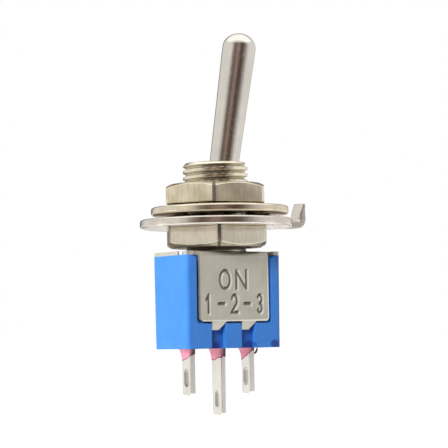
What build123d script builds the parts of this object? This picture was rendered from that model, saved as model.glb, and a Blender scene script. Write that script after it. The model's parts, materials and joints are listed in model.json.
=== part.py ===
from build123d import *
from math import atan, cos, degrees, radians, sin, sqrt, tan
import os

# Sub-miniature two-position toggle switch with a threaded bushing and three solder lugs.
# Millimetres. The origin is on the bushing axis, level with the top of the panel nut.
# +X runs along the row of terminals, -Y is the stamped front, +Z runs up the bushing.

os.makedirs("parts", exist_ok=True)

# ---- Driving dimensions -----------------------------------------------------------------

# Moulded case
case_length = 8.7
case_width = 4.8
case_height = 7.1
case_draft = 0.06            # each side is this much narrower at the bottom
case_corner = 0.35
cavity_length = 7.1
cavity_width = 3.0
base_thickness = 1.7
well_length = 7.4            # sealing well in the underside
well_width = 3.1
well_depth = 0.5
rim_pocket_radius = 1.82     # clears the staked end of the bushing
rim_pocket_depth = 0.3
rim_chamfer = 0.15
nub_width = 0.35             # two nubs on the rim key the frame's plate one way round
nub_depth = 0.3
nub_height = 0.28
nub_place = 1.5              # towards the stamped front

# Stamped frame that clamps the case under the bushing
sheet = 0.3
bend_radius = 0.3            # at the middle of the sheet
plate_margin = 0.05
plate_corner = 0.2
relief_width = 0.15
relief_reach = 0.55
notch_width = 0.8            # round each nub
notch_depth = 0.45
flare = 0.4                  # the flange widens by this much on each side at its bend
flare_radius = 0.38
flare_step = 0.06
flange_width = 6.3
flange_drop = 5.35           # from the top of the plate
flange_corner = 0.3
tab_drop = 6.0
tab_root_width = 1.3
tab_tip_width = 0.65
tab_lean = 0.18              # how far the crimped tab leans into its groove
tab_offset = 0.6             # from the middle of the groove to the tab's straight side
tab_shift = -0.1
recess_width = 6.9
recess_drop = 5.5
recess_depth = 0.33
groove_width = 1.32
groove_depth = 0.55

# Threaded bushing, M5 x 0.5
thread_radius = 2.5
thread_pitch = 0.5
thread_root = 2.25
thread_land = 0.06
first_crest = 0.23           # above the panel nut
covered_crest = -0.12        # the last full crest, in the nut's countersink
engaged_radius = 2.338       # pitch radius, used under the nuts
bushing_rise = 1.64          # above the panel nut
rim_radius = 2.35            # the thread's start under the chamfered rim
rim_chamfer_height = 0.07
mouth_radius = 2.05
neck_radius = 1.27
spigot_radius = 1.62
stake_radius = 1.78
stake_depth = 0.22
keyway_width = 0.9
keyway_floor = 2.22

# Stack on the bushing, from the top down
nut_flats = 7.5
nut_bore = 2.35
nut_face_radius = 3.5        # the corners are chamfered outside this circle
nut_chamfer_angle = 25
countersink_radius = 2.75
countersink_depth = 0.5
panel_nut_height = 1.57
panel_nut_turn = -5.6
washer_space = 1.16
ring_thickness = 0.65
rim_break = 0.14             # broken edges of the ring and the lock washer
backing_nut_height = 1.55
backing_nut_turn = -0.7
collar_height = 0.34
ring_radius = 5.9
ring_bore = 2.6
ring_tab_width = 1.36
ring_tab_reach = 8.17
ring_tab_height = 2.05
ring_tab_bend = 0.75
ring_tab_slope = 0.95        # height of the sloping cut inside the tab's tip
ring_tab_tip = 0.2           # thickness left at the tip
ring_key_width = 0.8
ring_key_radius = 2.27
washer_radius = 5.33
washer_rim_inner = 3.55
washer_thickness = 0.64
washer_rim_level = -2.09
washer_tooth_tip = 2.86
washer_tooth_width = 1.15
washer_teeth = 10
washer_twist = 30
washer_shift = Vector(0.25, -0.16, 0)

# Lever
lean = 10.0                  # each way from upright
pivot_height = -3.12
ball_radius = 1.36
seat_radius = 1.40
lever_top = 15.3             # above the pivot, along the lever
shank_radius = 1.055
head_radius = 1.30
head_height = 13.5
dome_height = 1.12
shoulder_radius = 0.92
tail_radius = 0.85
tail_length = 5.1
spring_bore = 0.5
spring_bore_top = 1.6
pin_radius = 0.32
pin_reach = 1.95             # each way from the lever's axis
pin_clearance = 0.05
pin_chamfer = 0.06

# Snap mechanism
stem_radius = 0.46
stem_top = 4.0               # distances below the pivot, along the lever
collar_top = 5.4
collar_bottom = 5.8
plunger_tip = 6.74
nose_radius = 0.45
collar_radius = 0.62
spring_radius = 0.36
spring_wire = 0.14
spring_sides = 6             # facets of the wire, kept few for so small a coil
spring_turns = 4
rocker_height = -9.77
rocker_tilt = 6.0
rocker_valley = 15.0
rocker_sheet = 0.25
rocker_bend = 0.325          # at the middle of the sheet, about the rocking axis
rocker_kink = 1.25
rocker_reach = 2.75
rocker_width = 1.5
waist_width = 0.8
waist_length = 0.7
contact_reach = 2.3
contact_radius = 0.45
contact_height = 0.2
button_radius = 0.4
button_height = 0.12
contact_chamfer = 0.07

# Terminals
terminal_pitch = 2.75
end_blade = (0.45, 1.15)     # thickness along X, width along Y
common_blade = (0.42, 1.35)
end_blade_drop = 3.57        # below the case
common_blade_drop = 5.16
end_slot = (1.4, 0.6)        # length, width
common_slot = (1.25, 0.45)
slot_foot = 0.68             # solid metal below the slot
common_slot_foot = 0.68
blade_chamfer = 0.18
foot_bend = 0.25
foot_tip = 1.7
saddle_width = 0.9
saddle_rise = 0.33
slot_clearance = 0.01
seal_margin = 0.2
seal_tip_margin = 0.05
seal_climb = 0.95

# ---- Levels and planes ------------------------------------------------------------------

nut_seat = -panel_nut_height
ring_top = nut_seat - washer_space
ring_bottom = ring_top - ring_thickness
backing_nut_bottom = ring_bottom - backing_nut_height
plate_top = backing_nut_bottom - collar_height
plate_bottom = plate_top - sheet
case_bottom = plate_bottom - case_height
floor_top = case_bottom + base_thickness
well_top = case_bottom + well_depth
hex_radius = nut_flats / 2 / cos(radians(30))

pivot = Vector(0, 0, pivot_height)
lever_up = Vector(sin(radians(lean)), 0, cos(radians(lean)))
lever_side = Vector(cos(radians(lean)), 0, -sin(radians(lean)))
lever_plane = Plane(origin=pivot, x_dir=lever_side, z_dir=(0, -1, 0))
lever_axis = Axis(origin=pivot, direction=lever_up)

rocker_pivot = Vector(0, 0, rocker_height)
rocker_along = Vector(cos(radians(rocker_tilt)), 0, sin(radians(rocker_tilt)))
rocker_up = Vector(-sin(radians(rocker_tilt)), 0, cos(radians(rocker_tilt)))
rocker_profile_plane = Plane(origin=rocker_pivot, x_dir=rocker_along, z_dir=(0, -1, 0))
rocker_top_plane = Plane(origin=rocker_pivot, x_dir=rocker_along, z_dir=rocker_up)

groove_centres = [side * terminal_pitch / 2 + tab_shift for side in (-1, 1)]
blades = {
    -terminal_pitch: end_blade,
    0: common_blade,
    terminal_pitch: end_blade,
}


def inner_corners(sketch, width):
    """The two corners of a sketch where a narrow part of this width meets a wider one above it."""
    return [
        corner
        for corner in sketch.vertices().group_by(Axis.Y)[-2]
        if abs(abs(corner.X) - width / 2) < flare / 2
    ]


def save(piece, label):
    """Label one finished piece and write it to its own STEP file."""
    piece.part.label = label
    export_step(piece.part, f"parts/{label}.step")


# ---- Case: one moulding, open at the top, with a sealing well underneath ------------------

recess_plane_offset = case_width / 2 - recess_depth
recess_height = recess_drop - sheet
groove_height = case_height - recess_height + bend_radius

with BuildPart() as case:
    with BuildSketch(Plane.XY.offset(plate_bottom)):
        RectangleRounded(case_length, case_width, case_corner)
    extrude(amount=-case_height, taper=degrees(atan(case_draft / case_height)))
    for side in (-1, 1):
        with BuildSketch(Plane.XZ.offset(side * recess_plane_offset)) as recess:
            with Locations((0, plate_bottom - recess_height / 2)):
                Rectangle(recess_width, recess_height)
            fillet(recess.vertices().group_by(Axis.Y)[0], flange_corner)
            with Locations((0, plate_bottom - flare_step / 2)):
                Rectangle(recess_width + 2 * flare, flare_step)
            fillet(inner_corners(recess, recess_width), flare_radius)
        extrude(amount=side * case_width, mode=Mode.SUBTRACT)
        with BuildSketch(Plane.XZ.offset(side * (case_width / 2 - groove_depth))):
            for centre in groove_centres:
                with Locations((centre, case_bottom + groove_height / 2)):
                    Rectangle(groove_width, groove_height)
        extrude(amount=side * case_width, mode=Mode.SUBTRACT)
    with BuildSketch(Plane.YZ):
        with Locations((-recess_plane_offset, plate_bottom), (recess_plane_offset, plate_bottom)):
            Rectangle(rim_chamfer * sqrt(2), rim_chamfer * sqrt(2), rotation=45)
    extrude(amount=recess_width / 2 + flare, both=True, mode=Mode.SUBTRACT)
    with BuildSketch(Plane.XY.offset(plate_bottom)):
        Rectangle(cavity_length, cavity_width)
    extrude(amount=floor_top - plate_bottom, mode=Mode.SUBTRACT)
    with BuildSketch(Plane.XY.offset(plate_bottom)):
        Circle(rim_pocket_radius)
    extrude(amount=-rim_pocket_depth, mode=Mode.SUBTRACT)
    with BuildSketch(Plane.XY.offset(case_bottom)):
        Rectangle(well_length, well_width)
    extrude(amount=well_depth, mode=Mode.SUBTRACT)
    with BuildSketch(Plane.XY.offset(well_top)):
        for place, (thickness, width) in blades.items():
            with Locations((place, 0)):
                Rectangle(thickness + 2 * slot_clearance, width + 2 * slot_clearance)
    extrude(amount=floor_top - well_top, mode=Mode.SUBTRACT)
    with BuildSketch(Plane.XY.offset(plate_bottom)):
        for side in (-1, 1):
            with Locations((side * (case_length - nub_depth - 2 * plate_margin) / 2, -nub_place)):
                Rectangle(nub_depth, nub_width)
    extrude(amount=nub_height)
save(case, "case")

# ---- Frame: one stamping, folded down over the front and the back of the case -------------

flange_middle = case_width / 2 - sheet / 2
plate_middle = plate_bottom + sheet / 2
flange_bottom = plate_top - flange_drop
tab_bottom = plate_top - tab_drop

with BuildPart() as switch_frame:
    with BuildSketch(Plane.YZ):
        with BuildLine():
            FilletPolyline(
                (-flange_middle + tab_lean, tab_bottom),
                (-flange_middle, flange_bottom),
                (-flange_middle, plate_middle),
                (flange_middle, plate_middle),
                (flange_middle, flange_bottom),
                (flange_middle - tab_lean, tab_bottom),
                radius=bend_radius,
            )
        trace(line_width=sheet)
    extrude(amount=flange_width / 2, both=True)
    with BuildSketch(Plane.XZ) as blank:
        with Locations((0, plate_top - flange_drop / 2)):
            Rectangle(flange_width, flange_drop)
        fillet(blank.vertices().group_by(Axis.Y)[0], flange_corner)
        with Locations((0, plate_top - (sheet + flare_step) / 2)):
            Rectangle(flange_width + 2 * flare, sheet + flare_step)
        fillet(inner_corners(blank, flange_width), flare_radius)
        for centre in groove_centres:
            straight_side = centre - tab_offset
            with BuildLine():
                Polyline(
                    (straight_side, flange_bottom + sheet),
                    (straight_side, tab_bottom),
                    (straight_side + tab_tip_width, tab_bottom),
                    (straight_side + tab_root_width, flange_bottom),
                    (straight_side + tab_root_width, flange_bottom + sheet),
                    close=True,
                )
            make_face()
    extrude(amount=case_width, both=True, mode=Mode.INTERSECT)
    with BuildSketch(Plane.XY.offset(plate_bottom)):
        RectangleRounded(case_length - 2 * plate_margin, case_width - 2 * plate_margin, plate_corner)
        for side in (-1, 1):
            with Locations((0, side * (case_width / 2))):
                Rectangle(flange_width + 2 * (flare + relief_width), 2 * relief_reach, mode=Mode.SUBTRACT)
            with Locations((side * case_length / 2, -nub_place)):
                Rectangle(2 * (notch_depth + plate_margin), notch_width, mode=Mode.SUBTRACT)
    extrude(amount=sheet)
    with BuildSketch(Plane.XY.offset(plate_bottom)):
        Circle(spigot_radius + slot_clearance)
    extrude(amount=sheet, mode=Mode.SUBTRACT)
save(switch_frame, "switch_frame")

# ---- Bushing: turned, with a spherical seat for the lever and a staked spigot -------------

stake_bottom = plate_bottom - stake_depth
neck_height = pivot_height + sqrt(seat_radius**2 - neck_radius**2)
crest_count = int((bushing_rise - first_crest) / thread_pitch) + 1
crests = [covered_crest] + [first_crest + thread_pitch * turn for turn in range(crest_count)]
flank = (thread_pitch - thread_land) / 2

thread_points = [(engaged_radius, crests[0] - flank / 2)]
for crest in crests:
    thread_points.append((thread_radius, crest - thread_land / 2))
    thread_points.append((thread_radius, crest + thread_land / 2))
    thread_points.append((thread_root, crest + thread_land / 2 + flank))
thread_points.append((rim_radius, bushing_rise - rim_chamfer_height))
thread_points.append((rim_radius - rim_chamfer_height, bushing_rise))

with BuildPart() as bushing:
    with BuildSketch(Plane.XZ):
        with BuildLine():
            Polyline(
                (seat_radius, pivot_height),
                (seat_radius, stake_bottom),
                (stake_radius, stake_bottom),
                (stake_radius, plate_bottom),
                (spigot_radius, plate_bottom),
                (spigot_radius, plate_top),
                (engaged_radius, plate_top),
                *thread_points,
                (mouth_radius, bushing_rise),
                (neck_radius, neck_height),
            )
            seat_middle = radians(22)
            ThreePointArc(
                (neck_radius, neck_height),
                (seat_radius * cos(seat_middle / 2), pivot_height + seat_radius * sin(seat_middle / 2)),
                (seat_radius, pivot_height),
            )
        make_face()
    revolve(axis=Axis.Z)
    pin_slot_top = pivot_height + pin_radius + pin_clearance
    with BuildSketch(Plane.XZ):
        with Locations((0, (pin_slot_top + stake_bottom) / 2)):
            Rectangle(2 * (pin_radius + pin_clearance), pin_slot_top - stake_bottom)
        fillet(vertices().group_by(Axis.Y)[-1], pin_radius)
    extrude(amount=pin_reach + pin_clearance, both=True, mode=Mode.SUBTRACT)
    with BuildSketch(Plane.XY.offset(bushing_rise)):
        with Locations((keyway_floor + thread_radius / 2, 0)):
            Rectangle(thread_radius, keyway_width)
    extrude(amount=plate_top - bushing_rise, mode=Mode.SUBTRACT)
save(bushing, "bushing")


# ---- Nuts -------------------------------------------------------------------------------

def hex_nut(bottom, height, turn, crown_up):
    """A thin hexagonal nut, chamfered on its crown side, with a countersunk bore."""
    corner_drop = (hex_radius - nut_face_radius) * tan(radians(nut_chamfer_angle))
    crown, base = (bottom + height, bottom) if crown_up else (bottom, bottom + height)
    inward = -1 if crown_up else 1
    with BuildPart() as nut:
        with BuildSketch(Plane.XY.offset(bottom)):
            RegularPolygon(radius=hex_radius, side_count=6, rotation=turn)
        extrude(amount=height)
        with BuildSketch(Plane.XZ):
            with BuildLine():
                Polyline(
                    (nut_bore, base),
                    (hex_radius, base),
                    (hex_radius, crown + inward * corner_drop),
                    (nut_face_radius, crown),
                    (countersink_radius, crown),
                    (nut_bore, crown + inward * countersink_depth),
                    close=True,
                )
            make_face()
        revolve(axis=Axis.Z, mode=Mode.INTERSECT)
    return nut


save(hex_nut(nut_seat, panel_nut_height, panel_nut_turn, crown_up=True), "panel_nut")
save(hex_nut(backing_nut_bottom, backing_nut_height, backing_nut_turn, crown_up=False), "backing_nut")

# ---- Locking ring: keyed to the bushing, with a locating tab bent up at its rim ------------

ring_middle = ring_bottom + ring_thickness / 2
tab_thickness = ring_thickness - 0.1

with BuildPart() as locking_ring:
    with BuildSketch(Plane.XY.offset(ring_bottom)):
        Circle(ring_radius)
        Circle(ring_bore, mode=Mode.SUBTRACT)
        with Locations(((ring_key_radius + ring_bore + ring_key_width) / 2, 0)):
            Rectangle(ring_bore + ring_key_width - ring_key_radius, ring_key_width)
    extrude(amount=ring_thickness)
    rims = locking_ring.edges().filter_by(GeomType.CIRCLE).sort_by(SortBy.RADIUS)[-2:]
    chamfer(rims, rim_break)
    with BuildSketch(Plane.XZ):
        with BuildLine():
            FilletPolyline(
                (ring_radius - ring_key_width, ring_middle),
                (ring_tab_reach - tab_thickness / 2, ring_middle),
                (ring_tab_reach - tab_thickness / 2, ring_bottom + ring_tab_height),
                radius=ring_tab_bend,
            )
        trace(line_width=tab_thickness)
    extrude(amount=ring_tab_width / 2, both=True)
    with BuildSketch(Plane.XZ):
        tab_top = ring_bottom + ring_tab_height
        with BuildLine():
            Polyline(
                (ring_tab_reach - tab_thickness, tab_top - ring_tab_slope),
                (ring_tab_reach - ring_tab_tip, tab_top),
                (ring_tab_reach - tab_thickness, tab_top),
                close=True,
            )
        make_face()
    extrude(amount=ring_tab_width, both=True, mode=Mode.SUBTRACT)
save(locking_ring, "locking_ring")

# ---- Lock washer: a rim with twisted teeth inside ----------------------------------------

washer_origin = washer_shift + Vector(0, 0, washer_rim_level)
tooth_level = (ring_top + nut_seat) / 2
tooth_root = washer_rim_inner + 0.2

with BuildPart() as lock_washer:
    with BuildSketch(Plane(origin=washer_origin - Vector(0, 0, washer_thickness / 2))):
        Circle(washer_radius)
        Circle(washer_rim_inner, mode=Mode.SUBTRACT)
    extrude(amount=washer_thickness)
    rims = lock_washer.edges().filter_by(GeomType.CIRCLE).sort_by(SortBy.RADIUS)[-2:]
    chamfer(rims, rim_break)
    for tooth in range(washer_teeth):
        angle = radians(360 * tooth / washer_teeth)
        outward = Vector(cos(angle), sin(angle), 0)
        across = Vector(-sin(angle), cos(angle), 0)
        twisted = across * cos(radians(washer_twist)) + Vector(0, 0, sin(radians(washer_twist)))
        root = washer_shift + Vector(0, 0, tooth_level) + outward * tooth_root
        with BuildSketch(Plane(origin=root, x_dir=twisted, z_dir=outward * -1)):
            Rectangle(washer_tooth_width, washer_thickness)
        extrude(amount=tooth_root - washer_tooth_tip)
save(lock_washer, "lock_washer")

# ---- Lever: bat handle, ball and bored tail in one piece, with a cross pin through the ball --

tail_join = -sqrt(ball_radius**2 - tail_radius**2)
shank_join = sqrt(ball_radius**2 - shank_radius**2)
dome_base = lever_top - dome_height
shoulder_reach = head_radius - shoulder_radius
dome_excess = dome_height - shoulder_radius
crown_radius = (shoulder_reach**2 + dome_height**2 - shoulder_radius**2) / (2 * dome_excess)
crown_drop = crown_radius - dome_height
shoulder_angle = degrees(atan(crown_drop / shoulder_reach))

with BuildPart() as lever:
    with BuildSketch(lever_plane):
        with BuildLine():
            ThreePointArc((tail_radius, tail_join), (ball_radius, 0), (shank_radius, shank_join))
            Polyline(
                (shank_radius, shank_join),
                (head_radius, head_height),
                (head_radius, dome_base),
            )
            CenterArc((shoulder_reach, dome_base), shoulder_radius, 0, shoulder_angle)
            CenterArc((0, dome_base - crown_drop), crown_radius, shoulder_angle, 90 - shoulder_angle)
            Polyline(
                (0, lever_top),
                (0, spring_bore - spring_bore_top),
                (spring_bore, -spring_bore_top),
                (spring_bore, -tail_length),
                (tail_radius, -tail_length),
                (tail_radius, tail_join),
            )
        make_face()
    revolve(axis=lever_axis)
    with BuildSketch(lever_plane):
        Circle(pin_radius)
    extrude(amount=ball_radius, both=True, mode=Mode.SUBTRACT)
save(lever, "lever")

with BuildPart() as lever_pin:
    with BuildSketch(lever_plane):
        Circle(pin_radius)
    extrude(amount=pin_reach, both=True)
    chamfer(lever_pin.edges().filter_by(GeomType.CIRCLE), pin_chamfer)
save(lever_pin, "lever_pin")

# ---- Plunger and its spring, inside the lever's tail ---------------------------------------

with BuildPart() as plunger:
    with BuildSketch(lever_plane):
        with BuildLine():
            Polyline(
                (0, nose_radius - plunger_tip),
                (0, -stem_top),
                (stem_radius, -stem_top),
                (stem_radius, -collar_top),
                (collar_radius, -collar_top),
                (collar_radius, -collar_bottom),
                (nose_radius, -collar_bottom),
                (nose_radius, nose_radius - plunger_tip),
                close=True,
            )
        make_face()
        with Locations((0, nose_radius - plunger_tip)):
            Circle(nose_radius)
        with Locations((-plunger_tip / 2, -plunger_tip / 2)):
            Rectangle(plunger_tip, 2 * plunger_tip, mode=Mode.SUBTRACT)
    revolve(axis=lever_axis)
save(plunger, "plunger")

spring_length = stem_top - spring_bore_top - 2 * spring_wire

with BuildPart() as plunger_spring:
    spring_foot = pivot - lever_up * (stem_top - spring_wire)
    with BuildLine() as coil:
        Helix(
            pitch=spring_length / spring_turns,
            height=spring_length,
            radius=spring_radius,
            center=spring_foot,
            direction=lever_up,
        )
    with BuildSketch(Plane(origin=coil.line @ 0, z_dir=coil.line % 0)):
        RegularPolygon(radius=spring_wire / 2, side_count=spring_sides)
    sweep(path=coil.line, is_frenet=True)
save(plunger_spring, "plunger_spring")

# ---- Rocker: a folded contact strip that seesaws on the common terminal --------------------

valley = radians(rocker_valley)
vertex_depth = rocker_bend / cos(valley)
arm_level = rocker_kink * tan(valley) - vertex_depth

with BuildPart() as rocker:
    with BuildSketch(rocker_profile_plane):
        with BuildLine():
            FilletPolyline(
                (-rocker_reach, arm_level),
                (-rocker_kink, arm_level),
                (0, -vertex_depth),
                (rocker_kink, arm_level),
                (rocker_reach, arm_level),
                radius=rocker_bend,
            )
        trace(line_width=rocker_sheet)
    extrude(amount=rocker_width / 2, both=True)
    with BuildSketch(rocker_top_plane.offset(-1)):
        for side in (-1, 1):
            with Locations((0, side * (waist_width + rocker_width) / 2)):
                Rectangle(waist_length, rocker_width)
    extrude(amount=2, mode=Mode.SUBTRACT)
save(rocker, "rocker")

for side, label in ((-1, "moving_contact_1"), (1, "moving_contact_3")):
    with BuildPart() as button:
        with BuildSketch(rocker_top_plane.offset(arm_level - rocker_sheet / 2)):
            with Locations((side * contact_reach, 0)):
                Circle(button_radius)
        extrude(amount=-button_height)
        chamfer(button.faces().sort_by(Axis.Z)[0].edges(), contact_chamfer)
    save(button, label)

# ---- Terminals ----------------------------------------------------------------------------


def lug_outline(width, top, bottom, slot, foot):
    """Sketch a lug seen along the row: a strip with a chamfered tip and a wire slot."""
    with Locations((0, (top + bottom) / 2)):
        Rectangle(width, top - bottom)
    chamfer(vertices().group_by(Axis.Y)[0], blade_chamfer)
    slot_length, slot_width = slot
    with Locations((0, bottom + foot + slot_length / 2)):
        SlotOverall(slot_length, slot_width, rotation=90, mode=Mode.SUBTRACT)


end_bottom = case_bottom - end_blade_drop
foot_thickness, end_width = end_blade
foot_middle = floor_top + foot_thickness / 2
foot_top = floor_top + foot_thickness

for side, label in ((-1, "terminal_1"), (1, "terminal_3")):
    with BuildPart() as terminal:
        with BuildSketch(Plane.XZ):
            with BuildLine():
                FilletPolyline(
                    (side * terminal_pitch, end_bottom),
                    (side * terminal_pitch, foot_middle),
                    (side * foot_tip, foot_middle),
                    radius=foot_bend,
                )
            trace(line_width=foot_thickness)
        extrude(amount=end_width / 2, both=True)
        with BuildSketch(Plane.YZ):
            lug_outline(end_width, foot_top, end_bottom, end_slot, slot_foot)
        extrude(amount=case_length, both=True, mode=Mode.INTERSECT)
    save(terminal, label)

common_thickness, common_width = common_blade
saddle_floor = rocker_height - rocker_bend - rocker_sheet / 2 - pin_clearance / 2

with BuildPart() as common_terminal:
    with BuildSketch(Plane.YZ) as common_sketch:
        lug_outline(
            common_width,
            saddle_floor + saddle_rise,
            case_bottom - common_blade_drop,
            common_slot,
            common_slot_foot,
        )
        with Locations((0, saddle_floor + saddle_rise / 2)):
            Rectangle(saddle_width, saddle_rise, mode=Mode.SUBTRACT)
    extrude(amount=common_thickness / 2, both=True)
save(common_terminal, "common_terminal")

for side, label in ((-1, "fixed_contact_1"), (1, "fixed_contact_3")):
    with BuildPart() as rivet:
        with BuildSketch(Plane.XY.offset(foot_top)):
            with Locations((side * contact_reach, 0)):
                Circle(contact_radius)
        extrude(amount=contact_height)
        chamfer(rivet.faces().sort_by(Axis.Z)[-1].edges(), contact_chamfer)
    save(rivet, label)

# ---- Sealing resin: fills the well and climbs the lugs -------------------------------------

with BuildPart() as epoxy_seal:
    with BuildSketch(Plane.XY.offset(well_top)):
        Rectangle(well_length - 2 * slot_clearance, well_width - 2 * slot_clearance)
    extrude(amount=-well_depth)
    for place, (thickness, width) in blades.items():
        for level, margin in ((case_bottom, seal_margin), (case_bottom - seal_climb, seal_tip_margin)):
            with BuildSketch(Plane.XY.offset(level)):
                with Locations((place, 0)):
                    Rectangle(thickness + 2 * margin, width + 2 * margin)
        loft()
    with BuildSketch(Plane.XY.offset(well_top)):
        for place, (thickness, width) in blades.items():
            with Locations((place, 0)):
                Rectangle(thickness + 2 * slot_clearance, width + 2 * slot_clearance)
    extrude(amount=-well_depth - seal_climb, mode=Mode.SUBTRACT)
save(epoxy_seal, "epoxy_seal")
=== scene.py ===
"""A sub-miniature toggle switch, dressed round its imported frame.

The rigid frame gives every level and every place. This file adds rounded edges, the helical
thread, the twisted teeth, the stamped marking, the resin skirts and each surface's finish.
"""
import json
import logging
import math
from abc import ABC, abstractmethod
from dataclasses import dataclass, field
from enum import Enum
from typing import Any, Sequence

import bmesh
import bpy
import numpy as np
from mathutils import Matrix, Vector
from mathutils.geometry import tessellate_polygon

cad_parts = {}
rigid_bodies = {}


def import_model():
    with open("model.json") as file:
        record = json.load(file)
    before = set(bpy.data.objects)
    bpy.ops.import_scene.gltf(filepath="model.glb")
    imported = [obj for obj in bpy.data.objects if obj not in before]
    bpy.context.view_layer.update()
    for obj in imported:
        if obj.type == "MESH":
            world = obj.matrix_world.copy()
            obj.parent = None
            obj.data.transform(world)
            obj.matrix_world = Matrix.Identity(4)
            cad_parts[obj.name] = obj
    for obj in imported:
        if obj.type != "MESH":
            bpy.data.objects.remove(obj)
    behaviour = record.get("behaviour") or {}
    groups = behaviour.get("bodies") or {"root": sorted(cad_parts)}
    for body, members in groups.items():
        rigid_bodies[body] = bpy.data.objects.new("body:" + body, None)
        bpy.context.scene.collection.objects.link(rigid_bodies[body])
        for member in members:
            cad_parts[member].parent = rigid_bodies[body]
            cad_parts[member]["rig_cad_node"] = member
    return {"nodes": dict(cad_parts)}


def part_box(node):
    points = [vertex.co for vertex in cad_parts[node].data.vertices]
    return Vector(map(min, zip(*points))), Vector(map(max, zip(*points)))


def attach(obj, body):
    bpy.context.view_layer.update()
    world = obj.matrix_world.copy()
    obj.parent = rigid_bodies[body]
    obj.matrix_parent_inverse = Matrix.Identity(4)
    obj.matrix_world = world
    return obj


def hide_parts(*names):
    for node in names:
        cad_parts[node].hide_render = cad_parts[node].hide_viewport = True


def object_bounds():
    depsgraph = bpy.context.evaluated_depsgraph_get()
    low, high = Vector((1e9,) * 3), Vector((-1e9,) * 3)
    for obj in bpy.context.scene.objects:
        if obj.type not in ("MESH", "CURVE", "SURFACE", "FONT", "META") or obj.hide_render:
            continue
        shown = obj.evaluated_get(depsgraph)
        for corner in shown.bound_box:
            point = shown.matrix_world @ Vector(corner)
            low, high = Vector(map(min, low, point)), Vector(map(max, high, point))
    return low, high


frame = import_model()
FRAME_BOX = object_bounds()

logging.basicConfig(level=logging.INFO, format="%(message)s")
log = logging.getLogger("toggle_switch")

MM = 0.001
ROUNDED_PAST = 35.0
ROUNDING_STEPS = 3
Colour = tuple[float, float, float]


# ---- Reading the frame ---------------------------------------------------------------------


@dataclass(frozen=True)
class Extent:
    """The box of a frame node at rest, in millimetres."""

    low: np.ndarray
    high: np.ndarray

    @classmethod
    def of(cls, node: str) -> "Extent":
        """Measure a node of the frame."""
        low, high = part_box(node)
        return cls(np.array(low) / MM, np.array(high) / MM)


# ---- Lines and grids -----------------------------------------------------------------------


def arc(centre: Sequence[float], radius: float, start: float, end: float, steps: int) -> np.ndarray:
    """An arc, (steps + 1, 2): centre + radius * (cos a, sin a), with a from start to end degrees."""
    angle = np.radians(np.linspace(start, end, steps + 1))
    return np.array(centre) + radius * np.column_stack([np.cos(angle), np.sin(angle)])


def rounded(corners: np.ndarray, radius: Any, steps: int = 4, closed: bool = False) -> np.ndarray:
    """Lines with an arc in each corner, tangent to both of the runs that meet there.

    The arc between the two tangent points is the spherical blend of the spokes to them,
    (sin((1 - t) w) first + sin(t w) last) / sin w, where w is the angle that it turns through.

    Args:
        corners: one line or an array of lines, (..., n, d).
        radius: the arcs' radius, one or n; between short runs it gets smaller.
        steps: spans in each arc.
        closed: whether the last point joins the first.

    Returns:
        The lines with their arcs, (..., m, d).
    """
    points = np.asarray(corners, float)
    back = np.roll(points, 1, -2) - points
    ahead = np.roll(points, -1, -2) - points
    reach_back = np.linalg.norm(back, axis=-1, keepdims=True)
    reach_ahead = np.linalg.norm(ahead, axis=-1, keepdims=True)
    back, ahead = back / reach_back, ahead / reach_ahead
    half = np.arccos(np.clip((back * ahead).sum(-1, keepdims=True), -1, 1)) / 2
    room = 0.49 * np.minimum(reach_back, reach_ahead)
    wanted = np.broadcast_to(np.asarray(radius, float), points.shape[-2:-1])[:, None] / np.tan(half)
    setback = np.minimum(wanted, room)
    bisector = back + ahead
    bisector /= np.linalg.norm(bisector, axis=-1, keepdims=True)
    middle = points + bisector * setback / np.cos(half)
    first = (points + back * setback - middle)[..., None, :]
    last = (points + ahead * setback - middle)[..., None, :]
    turn = (np.pi - 2 * half)[..., None, :]
    share = np.linspace(0, 1, steps + 1)[:, None]
    blend = np.sin((1 - share) * turn) * first + np.sin(share * turn) * last
    arcs = middle[..., None, :] + blend / np.sin(turn)
    inner = arcs if closed else arcs[..., 1:-1, :, :]
    line = inner.reshape(*points.shape[:-2], -1, points.shape[-1])
    if closed:
        return line
    return np.concatenate([points[..., :1, :], line, points[..., -1:, :]], -2)


def resampled(line: np.ndarray, longest: float, extra: Sequence[float] = ()) -> tuple[np.ndarray, np.ndarray]:
    """The same line with its long runs cut up, and with points at given distances added.

    Args:
        line: an open line, (n, d).
        longest: the longest span that is left whole.
        extra: distances from the start that get a point; a negative one is from the end.

    Returns:
        The distance of each point along the line, and the points.
    """
    spans = np.linalg.norm(np.diff(line, axis=0), axis=1)
    place = np.concatenate([[0], np.cumsum(spans)])
    count = np.ceil(spans / longest).astype(int)
    cuts = [start + span * np.arange(n) / n for start, span, n in zip(place, spans, count) if n]
    added = np.array(extra, float)
    added = np.where(added < 0, place[-1] + added, added)
    along = np.unique(np.round(np.concatenate([*cuts, place[-1:], added]), 6))
    points = np.stack([np.interp(along, place, line[:, axis]) for axis in range(line.shape[1])], 1)
    return along, points


def about_axis(radius: Any, angle: Any, height: Any) -> np.ndarray:
    """Points (r cos a, r sin a, z), in the shape that the radius, the angle and the height broadcast to."""
    return np.stack(np.broadcast_arrays(radius * np.cos(angle), radius * np.sin(angle), height), -1)


def turned(profile: np.ndarray, segments: int = 128) -> np.ndarray:
    """A surface of revolution, (segments, n, 3), from a profile of radius and height, (n, 2)."""
    angle = np.linspace(0, 2 * np.pi, segments, endpoint=False)[:, None]
    return about_axis(profile[:, 0][None], angle, profile[:, 1][None])


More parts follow.
